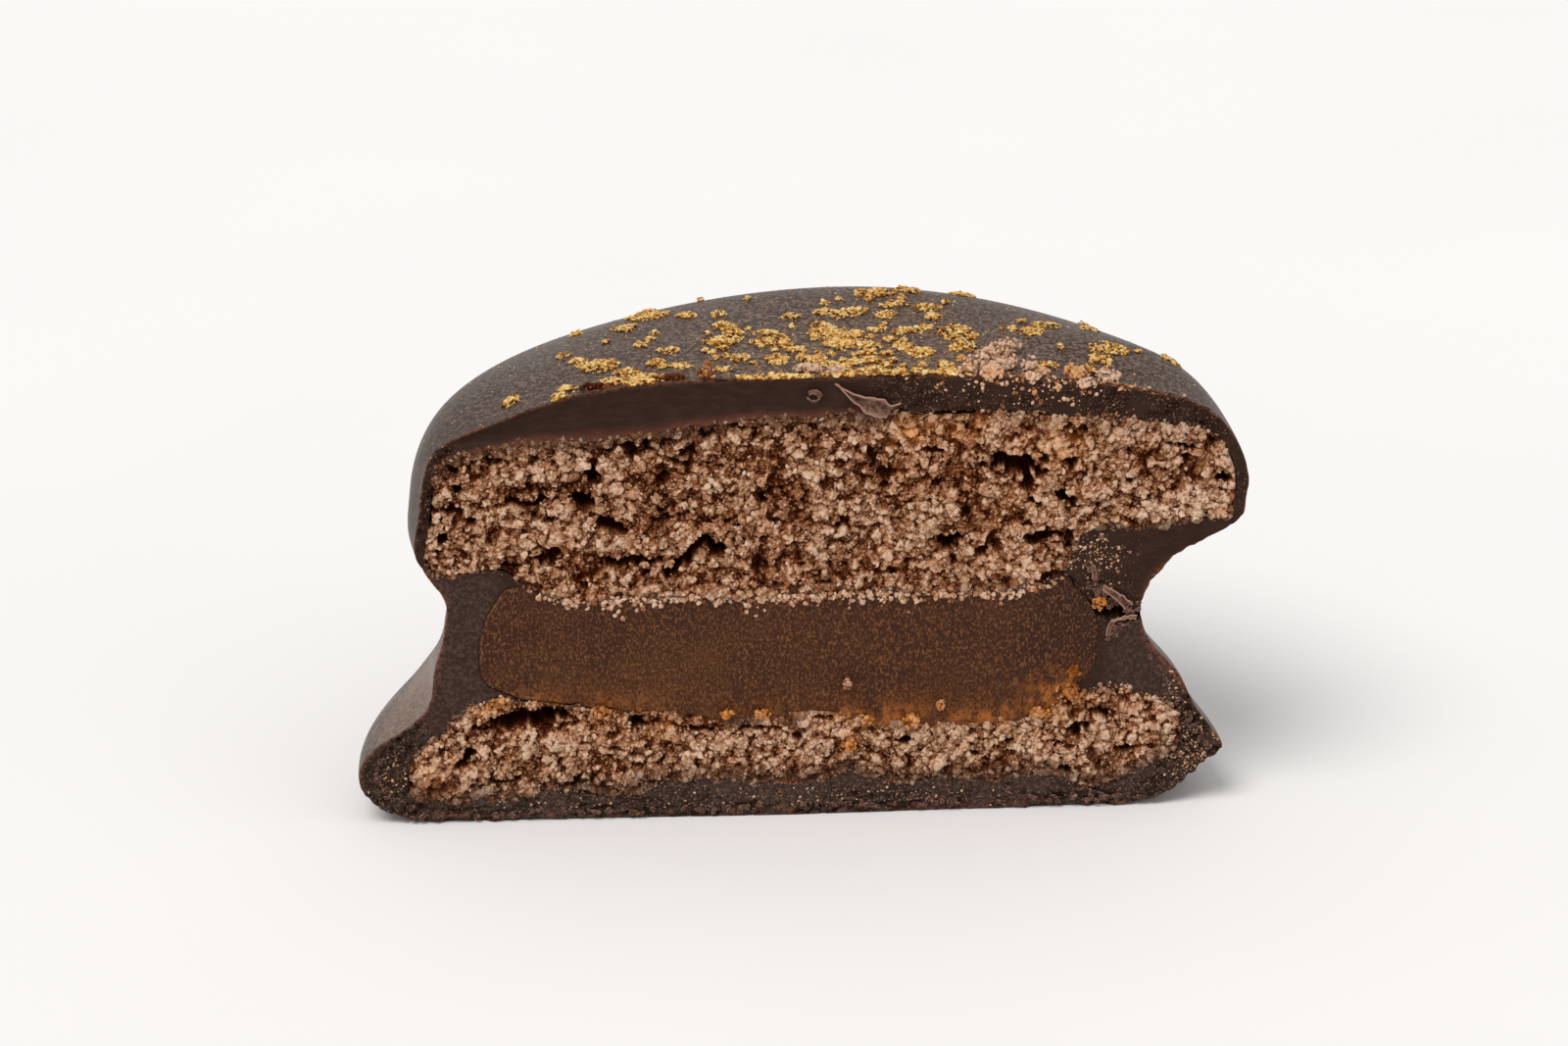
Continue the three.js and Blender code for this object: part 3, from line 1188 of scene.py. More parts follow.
@dataclass(frozen=True)
class Crevice:
    """A ragged hole or crack in a cut face.

    Attributes:
        across: Its middle, across the cut.
        height: Its middle's height.
        half_width: Half its length along.
        half_height: Half its height.
        depth: How deep it goes.
        tilt: How far it is turned, in degrees.
    """

    across: float
    height: float
    half_width: float
    half_height: float
    depth: float
    tilt: float = 0.0

    def depth_at(self, x: float, z: float) -> float:
        """Returns how deep it is at a point of the cut."""
        dx, dz = x - self.across, z - self.height
        if abs(dx) + abs(dz) > 2 * (self.half_width + self.half_height):
            return 0.0
        turn = math.radians(self.tilt)
        along = dx * math.cos(turn) + dz * math.sin(turn)
        over = dz * math.cos(turn) - dx * math.sin(turn)
        wander = 0.9 * self.half_height * ripple(x, 0, z, 1.1, self.across)
        far = math.hypot(along / self.half_width, (over + wander) / self.half_height)
        far += 0.7 * ripple(x, 0, z, 0.5, self.height) + 0.3 * ripple(x, 0, z, 0.22, self.across)
        return self.depth * (1 - smooth(far, 0.7, 1.2))


@dataclass
class Coating:
    """The chocolate all round, from its flat base to its domed crown, with its broken cut face.

    Attributes:
        lower: The lower biscuit's room.
        filling: The filling's room.
        upper: The upper biscuit's room.
        wall_rows: Faces through the wall on the cut.
        turn_steps: Faces of the half turn outside.
        inner_steps: Faces of the half turn inside, where nothing shows.
        cracks: The crack through the wall at the waist, and the gap under the top's right part.
        surface: Its finished form, once it is made.
    """

    lower: Layer
    filling: Layer
    upper: Layer
    wall_rows: int = 18
    turn_steps: int = 140
    inner_steps: int = 20
    cracks: tuple[Crevice, ...] = (
        Crevice(22.9, 14.4, 1.9, 0.3, 1.5, -5),
        Crevice(21.9, 14.7, 0.6, 0.5, 1.7, 20),
        Crevice(11.6, 29.05, 2.4, 0.16, 1.2, -2),
    )
    surface: Surface | None = field(default=None, init=False)

    def stretches(self) -> list[Stretch]:
        """Returns the wall's stretches, from the axis at the base to the axis at the crown."""
        low, mid, top = self.lower, self.filling, self.upper
        low_shift, mid_shift, top_shift = (low.shift,) * 2, (mid.shift,) * 2, (top.shift,) * 2
        base = straight((0, 0), (BASE_EDGE.radius, 0))
        to_filling = straight(low.high_arc(1), mid.low_arc(0))
        to_upper = straight(mid.high_arc(1), top.low_arc(0))
        last = straight(top.high_arc(1), (0, top.top))
        return [
            Stretch(base, straight((0, low.bottom), low.low_arc(0)), 40, low_shift),
            Stretch(curve(BASE_EDGE, LIP), low.low_arc, 42, low_shift),
            Stretch(curve(LIP, WAIST, 0, 0.45), low.high_arc, 36, low_shift),
            Stretch(curve(LIP, WAIST, 0.45, 0.62), to_filling, 20, (low.shift, mid.shift)),
            Stretch(curve(LIP, WAIST, 0.62, 1), mid.low_arc, 26, mid_shift),
            Stretch(curve(WAIST, BROW, 0, 0.1), straight(mid.low_arc(1), mid.high_arc(0)), 6, mid_shift),
            Stretch(curve(WAIST, BROW, 0.1, 0.5), mid.high_arc, 24, mid_shift),
            Stretch(curve(WAIST, BROW, 0.5, 0.6), to_upper, 6, (mid.shift, top.shift)),
            Stretch(curve(WAIST, BROW, 0.6, 1), part(top.low_arc, 0, 0.45), 20, top_shift),
            Stretch(curve(BROW, BULGE), part(top.low_arc, 0.45, 1), 32, top_shift),
            Stretch(curve(BULGE, SHOULDER), part(top.high_arc, 0, 0.85), 64, top_shift),
            Stretch(curve(SHOULDER, CROWN, 0, 0.12), part(top.high_arc, 0.85, 1), 12, top_shift),
            Stretch(curve(SHOULDER, CROWN, 0.12, 1), last, 96, top_shift),
        ]

    def _wall(self) -> bmesh.types.BMesh:
        """Makes the wall's section on both sides of the axis, and spins its two lines round."""
        stations = [station for stretch in self.stretches() for station in stretch.stations()]
        stations.append(((0, HEIGHT), (0, self.upper.top), self.upper.shift))
        last = len(stations) - 1
        bm = bmesh.new()
        inner, shift = add_layers(bm, "inner", "shift")
        bmesh.ops.create_grid(bm, x_segments=last, y_segments=self.wall_rows, size=1)
        for vert in bm.verts:
            share = (vert.co.y + 1) / 2
            outside, inside, off = stations[round((vert.co.x + 1) / 2 * last)]
            vert.co = (lerp(outside[0], inside[0], share), 0, lerp(outside[1], inside[1], share))
            vert[inner] = share
            vert[shift] = off
        lines = {
            self.turn_steps: [e for e in bm.edges if all(v[inner] < WELD for v in e.verts)],
            self.inner_steps: [e for e in bm.edges if all(v[inner] > 1 - WELD for v in e.verts)],
        }
        wall = list(bm.verts) + list(bm.edges) + list(bm.faces)
        other = bmesh.ops.duplicate(bm, geom=wall)["geom"]
        half_turn = Matrix.Rotation(math.pi, 3, "Z")
        others = [item for item in other if isinstance(item, bmesh.types.BMVert)]
        bmesh.ops.rotate(bm, cent=(0, 0, 0), matrix=half_turn, verts=others)
        for steps, line in lines.items():
            spin_half(bm, line, steps)
        seal(bm)
        return bm

    def _brokenness(self, x: float, z: float, inner: float) -> float:
        """Returns how crumbly the cut chocolate is at a point, from 0 to 1."""
        top_right = smooth(x, 4.5, 9) * smooth(z, 26, 28) * 0.75
        foot = 0.6 * (1 - smooth(z, 0.7, 1.5)) + 0.75 * (1 - smooth(z, 1.8, 3.2))
        corners = smooth(abs(x), 24.0, 26.5) * (1 - smooth(z, 6.5, 9)) * 1.35
        torn = 1.1 * bump(x, 21.8, 1.6) * bump(z, 14.9, 1.7)
        flank = 0.5 * smooth(x, 24.5, 26.5) * (1 - smooth(z, 11, 13))
        tip = 0.5 * smooth(x, 29.2, 30.4) * bump(z, 22.5, 3.5)
        edge = 0.9 * smooth(-x, 22, 24) * smooth(z, 19.5, 21) * (1 - smooth(z, 27, 28.5))
        wedge = 0.32 * bump(x, 22.4, 2.2) * bump(z, 18.4, 2.2)
        rim = 0.5 * (1 - smooth(inner, 0.0, 0.06)) + 0.5 * smooth(inner, 0.9, 1.0) * smooth(x, -20, -12)
        patchy = 0.6 + 0.9 * ripple(x, 0, z, 1.8, 6.6)
        return clamp((top_right + foot + corners + torn + flank + tip + edge + wedge + rim) * patchy)

    def _roughen_cut(self, bm: bmesh.types.BMesh) -> None:
        """Gives the cut face its knife marks, chips and crack, and marks what its finish reads."""
        names = ("cut", "broken", "rim", "haze_and_sheen", "warm", "gilt")
        cut, broken, rim, haze_and_sheen, warm, gilt = add_layers(bm, *names)
        inner = bm.verts.layers.float["inner"]
        for vert in bm.verts:
            x, y, z = vert.co
            share = vert[inner]
            if abs(y) > ON_CUT:
                vert[haze_and_sheen] = self._haze_and_sheen(x, y, z)
                vert[gilt] = bump(math.hypot(x - 5, y - 4), 0, 9.5) * smooth(z, 28.5, 31)
                continue
            vert.co += share * seam_warp(x, z)
            x, y, z = vert.co
            loose = self._brokenness(x, z, share)
            vert[cut] = 1 - self._smeared(x, z)
            vert[haze_and_sheen] = 0.5
            vert[broken] = loose
            vert[warm] = smooth(share, 0.75, 1.0) * smooth(z, 26.0, 27.0) * (1 - smooth(x, 4, 8))
            pink_base = 0.75 * (1 - smooth(z, 0.2, 0.75)) * smooth(ripple(x, 0, z, 0.9, 8.8), -0.15, 0.25)
            vert[rim] = (1 - smooth(share, 0.0, 0.08)) * smooth(z, 1.5, 4) + pink_base
            hollow = 0.38 * math.sin(math.pi * share) * smooth(z, 27.0, 28.2) * (1 - smooth(x, -2, 5))
            streak = 0.035 * ripple(x, 0, 2.4 * z, 1.6, 2.2)
            chips = loose * (0.25 + 0.6 * ripple(x, 0, z, 0.55, 4.1) + 0.3 * ripple(x, 0, z, 0.25, 1.7))
            nick = max(0.0, ripple(x, 0, z, 0.8, 9.4) - 0.12) * (1 - smooth(share, 0.0, 0.12))
            crack = max(crack.depth_at(x, z) for crack in self.cracks)
            vert.co.y = max(0.0, hollow + streak + chips + 0.5 * nick + crack)
            notch = max(0.0, ripple(x, 0, 0, 1.4, 7.7) + 0.1) + 0.6 * max(0.0, ripple(x, 0, 0, 0.5, 2.1))
            vert.co.z += 0.75 * (1 - smooth(z, 0, 1.3)) * (1 - share) * notch

    def _smeared(self, x: float, z: float) -> float:
        """Returns how far the knife smeared the skin's bloom over the cut at a point, from 0 to 1."""
        base = 0.5 * (1 - smooth(z, 2.4, 3.6))
        left = 0.35 * smooth(-x, 19, 21) * (1 - smooth(z, 17.5, 19))
        right = 0.35 * smooth(x, 21, 23) * (1 - smooth(z, 13, 14.5))
        return max(base, left, right)

    def _haze_and_sheen(self, x: float, y: float, z: float) -> float:
        """Returns how much dusty bloom the skin has at a point, from 0 to 1, with a painted sheen on the
        left foot.
        """
        crown = 0.45 * smooth(z, 26, 31)
        low = 0.4 * bump(z, 5, 3) * smooth(ripple(x, y, z, 9, 1.1), 0.05, 0.4)
        # Painted sheen: the left foot's flank, where light from the left and above glances off it, is paled
        # with the bloom's colour.
        painted_sheen = 0.9 * bump(z, 8.5, 4.5) * smooth(-x, 10, 25) * bump(y, 0, 12)
        return clamp(0.3 + crown + low + painted_sheen)

    def make(self) -> bmesh.types.BMesh:
        """Returns the coating's mesh."""
        bm = self._wall()
        inner, shift = bm.verts.layers.float["inner"], bm.verts.layers.float["shift"]
        for vert in bm.verts:
            x, y, z = vert.co
            angle = math.atan2(abs(y), x)
            share = vert[inner]
            vert.co = uneven(math.hypot(x, y), angle, z, share, vert[shift])
            vert.co += (1 - share) * outline_warp(vert.co)
        self._roughen_cut(bm)
        self.surface = Surface.of(bm)
        return bm

    def dress(self, pieces: Pieces, material: Material) -> Object:
        """Makes the coating's piece."""
        return pieces.add(
            self.make(), "chocolate_shell", material, "chocolate", ["chocolate_coating"], Shading.CREASED
        )


# ------------------------------
# The biscuits
# ------------------------------


@dataclass(frozen=True)
class Crumb:
    """The broken crumb of a biscuit's cut face.

    Attributes:
        patch: Which patch of the noise its crumb is read from.
        grain: Size of its grains, in millimetres.
        pits: How deep the noise has to dip for a pit: more leaves fewer of them.
        pale: How pale it is on average, from 0 to 1.
        paler_right: How much paler it gets with each millimetre from the axis towards +X.
        crevices: Its largest holes.
    """

    patch: float
    grain: float
    pits: float
    pale: float
    paler_right: float
    crevices: tuple[Crevice, ...]

    def _dome(self, spot: Vector, size: float) -> tuple[float, float]:
        """Returns the height of the grain at a spot, from 0 to 1, and that grain's own number."""
        near, sites = noise.voronoi(spot / size)
        return math.sqrt(max(0.0, 1 - (near[0] / 0.78) ** 2)), noise.cell(sites[0] * 3.7)

    def depth(self, x: float, z: float) -> tuple[float, float]:
        """Returns how deep the crumb lies at a point of the cut, and how pale it is, with painted light and
        shade.
        """
        bend = Vector((ripple(x, 0, z, 0.7, self.patch), 0, ripple(x, 0, z, 0.7, self.patch + 5)))
        spot = Vector((x, self.patch, z)) + 0.3 * bend
        clump, clump_own = self._dome(spot, 3.0 * self.grain)
        grain, own = self._dome(spot, self.grain)
        bead, bead_own = self._dome(spot, 0.5 * self.grain)
        swell = ripple(x, 0, 1.2 * z, 3.2, self.patch + 1)
        hollow = ripple(0.8 * x, 0, z, 1.2, self.patch + 3) + 0.5 * ripple(x, 0, z, 0.5, self.patch + 4)
        pit = smooth(-hollow, self.pits, self.pits + 0.2)
        hole = max((crevice.depth_at(x, z) for crevice in self.crevices), default=0.0)
        height = 0.46 * clump + 0.16 * clump_own + 0.3 * grain + 0.18 * own + 0.12 * bead + 0.24 * swell
        depth = 0.72 - height + 0.9 * pit + hole
        # Painted highlight and shade: the crumb is paler on the tops of its clumps, grains and beads and
        # darker between them, besides each one's own random tone.
        light = 0.2 * (clump - 0.7) + 0.4 * (grain - 0.7) + 0.28 * (bead - 0.7) + 0.08 * swell
        light += 0.26 * (own - 0.5) + 0.16 * (bead_own - 0.5) + 0.14 * (clump_own - 0.5)
        light += self.paler_right * max(0.0, x)
        # Pits and holes are darker still: painted shade.
        return max(-0.35, depth), clamp(self.pale + light - 0.36 * pit - 0.6 * hole)


@dataclass(frozen=True)
class Stain:
    """A patch of crumb that caramel has soaked into.

    Attributes:
        x: Its middle across the cut.
        z: Its middle's height.
        reach: How far it spreads.
        strength: How strong it is at its middle, from 0 to 1.
    """

    x: float
    z: float
    reach: float
    strength: float

    def at(self, x: float, z: float) -> float:
        """Returns how strong it is at a point of the cut."""
        return self.strength * bump(math.hypot(x - self.x, z - self.z), 0, self.reach)


@dataclass
class Biscuit:
    """Half a cocoa biscuit: its broken face, the loose grains on it, and its body behind.

    Attributes:
        name: Which biscuit it is.
        node: The solid that it replaces.
        layer: Its form.
        crumb: Its cut face.
        coating: What its outermost grains lie on.
        columns: Faces across the cut.
        rows: Faces up the cut.
        grains: How many loose grains lie on the face.
        grit: How many of the finest ones do.
        seed: Seed of their draws.
        soak_top: How far down from its top it is soaked, in millimetres.
        soak_bottom: How far up from its underside it is.
        stains: Where caramel has soaked into it.
        amber_top: Whether caramel has soaked into its top too.
        turn_steps: Faces of the half turn behind it.
        surface: Its finished form, once it is made.
    """

    name: str
    node: str
    layer: Layer
    crumb: Crumb
    coating: Surface
    columns: int
    rows: int
    grains: int
    grit: int
    seed: int
    soak_top: float
    soak_bottom: float
    stains: tuple[Stain, ...]
    amber_top: bool = False
    turn_steps: int = 24
    surface: Surface | None = field(default=None, init=False)

    def _soak(self, x: float, below: float, above: float) -> float:
        """Returns how soaked with fat the crumb is, from 0 to 1.

        Args:
            x: Place across the cut.
            below: How far below the biscuit's top it lies.
            above: How far above the underside.
        """
        wander = 0.7 * ripple(x, 0, below, 2.2, self.crumb.patch + 6)
        left = 1 - 0.6 * smooth(x, 4, 10)
        top = left * (1 - smooth(below + wander, 0.0, self.soak_top))
        bottom = 1 - smooth(above + 0.6 * wander, 0.0, self.soak_bottom)
        return 0.85 * max(top, bottom)

    def _amber(self, x: float, z: float, below: float) -> float:
        """Returns how much caramel the crumb holds at a point, so far below the biscuit's top."""
        held = sum(stain.at(x, z) for stain in self.stains)
        if self.amber_top:
            patchy = smooth(ripple(x, 0, 0, 3.1, self.crumb.patch + 7), -0.05, 0.4)
            held += 0.5 * patchy * (1 - smooth(abs(x), 20, 22)) * (1 - smooth(below, 0.1, 0.9))
        return clamp(held * (0.8 + 0.9 * ripple(x, 0, z, 0.7, self.crumb.patch + 9)))

    def make(self) -> bmesh.types.BMesh:
        """Returns the biscuit's mesh."""
        bm = cut_disc(self.layer, self.columns, self.rows, self.turn_steps)
        tone, soak, amber = add_layers(bm, *LOOK_LAYERS)
        for vert in bm.verts:
            vert[tone] = 0.4
            if abs(vert.co.y) > ON_CUT:
                vert.co.x += self.layer.shift
                continue
            below = self.layer.roof_at(vert.co.x) - vert.co.z
            above = vert.co.z - self.layer.floor_at(vert.co.x)
            vert.co.x += self.layer.shift
            vert.co += seam_warp(vert.co.x, vert.co.z)
            x, _, z = vert.co
            depth, vert[tone] = self.crumb.depth(x, z)
            vert.co.y = depth * lerp(0.35, 1, smooth(min(below, above), 0, 0.5))
            vert[soak] = self._soak(x, below, above)
            vert[amber] = self._amber(x, z, below)
        self.surface = Surface.of(bm)
        return bm

    def _spots(self, rng: random.Random, beyond: float) -> Iterator[tuple[Vector, Vector, float, float]]:
        """Yields random places on the face, and a little beyond its edge, without end.

        Args:
            rng: The draws.
            beyond: How far beyond the edge they may lie.

        Yields:
            A place, its normal, and how far it lies below the biscuit's top and above its underside.
        """
        while True:
            reach = self.layer.radius * rng.uniform(-0.985, 0.985)
            floor, roof = self.layer.floor_at(reach), self.layer.roof_at(reach)
            level = rng.uniform(floor - beyond, roof + beyond)
            spot = Vector((reach + self.layer.shift, 0, level))
            spot += seam_warp(spot.x, spot.z)
            hits = [self.surface.from_front(spot.x, spot.z), self.coating.from_front(spot.x, spot.z)]
            hits = [hit for hit in hits if hit and hit[0].y < 1.0]
            if hits:
                place, normal = min(hits, key=lambda hit: hit[0].y)
                yield place, normal, roof - level, level - floor

    def _gather(self, scatter: Scatter, count: int, largest: float, paler: float) -> bmesh.types.BMesh:
        """Lays grains on the face.

        Args:
            scatter: What they are gathered in.
            count: How many there are.
            largest: Radius of the largest.
            paler: How much paler than the crumb under them they are on average.

        Returns:
            All of them as one mesh.
        """
        rng = scatter.rng
        for place, normal, below, above in self._spots(rng, 0.24):
            if scatter.count >= count:
                break
            if rng.random() > 1.2 - 1.1 * place.y:
                continue
            coarse = 0.65 + 0.35 * smooth(ripple(place.x, 0, place.z, 4, self.crumb.patch + 2), -0.3, 0.3)
            size = (0.32 + 0.68 * rng.random() ** 2.2) * largest * coarse
            tone = lerp(self.crumb.pale, self.crumb.depth(place.x, place.z)[1], 0.5) + paler
            # Grains that lie further in are darker: painted shade.
            tone = clamp(rng.gauss(tone, 0.15) - 0.25 * max(0.0, place.y))
            lie = (normal + 0.6 * FORWARD).normalized()
            middle = place + lie * size * rng.uniform(-0.35, 0.3)
            soak = self._soak(place.x, below, above) * rng.uniform(0.5, 1)
            warm = 0.35 * rng.random() if rng.random() < 0.04 else 0.0
            look = Look(tone, soak, max(warm, self._amber(place.x, place.z, below) * rng.uniform(0.4, 1)))
            scatter.add(middle, lie, size, look, flat=rng.uniform(0.65, 1.0), lumpy=0.54)
        return scatter.joined()

    def dress(self, pieces: Pieces, material: Material) -> None:
        """Makes the biscuit's piece, its loose grains and its finest grit."""
        pieces.add(self.make(), f"{self.name}_crumb", material, "cocoa_crumb", [self.node])
        loose = Scatter(Shape.PEBBLE, self.seed)
        grains = self._gather(loose, self.grains, largest=0.5 * self.crumb.grain, paler=0.08)
        pieces.add(grains, f"{self.name}_grains", material, "cocoa_crumb", shading=Shading.FACETED)
        finest = Scatter(Shape.SPECK, self.seed + 50)
        grit = self._gather(finest, self.grit, largest=0.12, paler=0.22)
        pieces.add(grit, f"{self.name}_grit", material, "cocoa_crumb", shading=Shading.FACETED)

    def underside(self, x: float) -> float:
        """Returns the height of the biscuit's lower border on the cut, at a place across."""
        floor = self.layer.floor_at(x - self.layer.shift)
        return floor + seam_warp(x, floor).z


# ------------------------------
# The filling
# ------------------------------


@dataclass
class Filling:
    """The caramel disc: a smooth face that the knife left, with a dried line round its left end.

    Attributes:
        layer: Its form.
        columns: Faces across the cut.
        rows: Faces up the cut.
        turn_steps: Faces of the half turn behind it.
        pool: Where the clear syrup stands highest, across the cut.
        surface: Its finished form, once it is made.
    """

    layer: Layer
    columns: int = 420
    rows: int = 90
    turn_steps: int = 24
    pool: float = 18.9
    surface: Surface | None = field(default=None, init=False)

    def _edge_distance(self, x: float, z: float) -> float:
        """Returns about how far a point of the face is from the filling's left end."""
        layer = self.layer
        middle = (layer.bottom + layer.top) / 2
        inset_x = layer.radius - layer.low.across
        inset_z = (layer.top - layer.bottom) / 2 - layer.low.up
        dx = max(0.0, -x - inset_x) / layer.low.across
        dz = max(0.0, abs(z - middle) - inset_z) / layer.low.up
        return layer.low.across * (1 - math.hypot(dx, dz))

    def make(self) -> bmesh.types.BMesh:
        """Returns the filling's mesh."""
        bm = cut_disc(self.layer, self.columns, self.rows, self.turn_steps)
        names = ("glow", "line", "cloud", "dark", "scratch")
        glow, line, cloud, dark, scratch = add_layers(bm, *names)
        for vert in bm.verts:
            x, y, z = vert.co
            if abs(y) > ON_CUT:
                continue
            up = z - self.layer.bottom
            edge = self._edge_distance(x, z)
            patchy = 0.55 + 0.7 * ripple(x, 0, z, 3.1, 4.4) + 0.2 * smooth(x, -2, 8)
            patchy += 0.4 * bump(x, self.pool, 2)
            reach = 2.4 + 2.4 * bump(x, self.pool, 2.4)
            mottled = 0.78 + 0.9 * ripple(x, 0, z, 0.8, 7.4) + 0.6 * ripple(x, 0, z, 0.3, 2.6)
            vert[glow] = clamp((1 - smooth(up, 0.0, reach)) * patchy * mottled)
            near_end = smooth(-x, 16.6, 18.0)
            ragged = smooth(ripple(x, 0, z, 0.3, 2.9), -0.05, 0.25)
            vert[line] = 0.6 * near_end * bump(edge, 0.16, 0.09) * ragged
            vert[cloud] = clamp((1 - smooth(up, 2, 7)) * (1 - smooth(x, -8, 4)) + 0.3)
            vert[dark] = smooth(x, 13, 20) * smooth(up, 1.5, 4)
            vert[scratch] = 0.1 + 0.6 * bump(x, -14, 1.6) * bump(up, 4, 3)
            slump = 0.1 * ripple(x, 0, z, 6, 3.7) + 0.035 * ripple(x, 0, z, 1.3, 5.5)
            drag = 0.022 * ripple(2.4 * x, 0, 0.12 * z, 0.6, 1.3)
            flush = 1 - 0.9 * smooth(x, 16.5, 20)
            vert.co.y = flush * (0.12 + slump + drag) - 0.1 * vert[line]
            vert.co += seam_warp(x, z)
        self.surface = Surface.of(bm)
        return bm

    def dress(self, pieces: Pieces, material: Material) -> None:
        """Makes the filling's piece."""
        pieces.add(self.make(), "caramel_disc", material, "caramel", ["caramel_filling"])


# ------------------------------
# Crumbs and flakes
# ------------------------------


@dataclass(frozen=True)
class Cluster:
    """A lump of crumb that lies somewhere on the cookie.

    Attributes:
        x: Its middle across.
        z: Its middle's height, read only on the cut.
        width: Half its width.
        height: Half its height.
        grains: How many grains it has.
        amber: How much caramel it holds.
        tone: How pale it is.
        behind: How far behind the cut it lies.
    """

    x: float
    z: float
    width: float
    height: float
    grains: int
    amber: float
    tone: float = 0.72
    behind: float = 0.0

    LUMPY = 0.36  # how far its grains' surfaces stray

    def heap(self, scatter: Scatter, middle: Vector) -> None:
        """Heaps its grains round a middle.

        Args:
            scatter: What the grains are added to.
            middle: Where the cluster's middle lies.
        """
        rng = scatter.rng
        thick = min(self.width, self.height)
        for _ in range(self.grains):
            way = Vector((rng.gauss(0, 1), rng.gauss(0, 1), rng.gauss(0, 1))).normalized()
            far = rng.random() ** 0.5
            offset = Vector((way.x * self.width, way.y * thick, way.z * self.height)) * far
            size = rng.uniform(0.1, 0.27) * (1.15 - 0.4 * far)
            tone = clamp(rng.gauss(self.tone, 0.16))
            amber = clamp(rng.gauss(self.amber, 0.4 * self.amber))
            scatter.add(middle + offset, way, size, Look(tone, 0, amber), lumpy=self.LUMPY)


@dataclass(frozen=True)
class Dusting:
    """Fine pale grit strewn over a patch of the cut chocolate.

    Attributes:
        x: The patch's middle across.
        z: Its middle's height.
        wide: How far it spreads across.
        high: How far it spreads up and down.
        grains: How many grains are strewn.
    """

    x: float
    z: float
    wide: float
    high: float
    grains: int

    def strew(self, scatter: Scatter, ground: Surface) -> None:
        """Strews the grit.

        Args:
            scatter: What the grains are added to.
            ground: What they lie on.
        """
        rng = scatter.rng
        for _ in range(self.grains):
            hit = ground.from_front(rng.gauss(self.x, self.wide), rng.gauss(self.z, self.high))
            if hit and hit[0].y < 0.6 and hit[0].z > 0.2 and hit[1].y < -0.3:
                look = Look(rng.uniform(0.4, 0.95), 0, 0.5 * rng.random() ** 3)
                scatter.add(hit[0], hit[1], 0.03 + 0.09 * rng.random() ** 3, look)


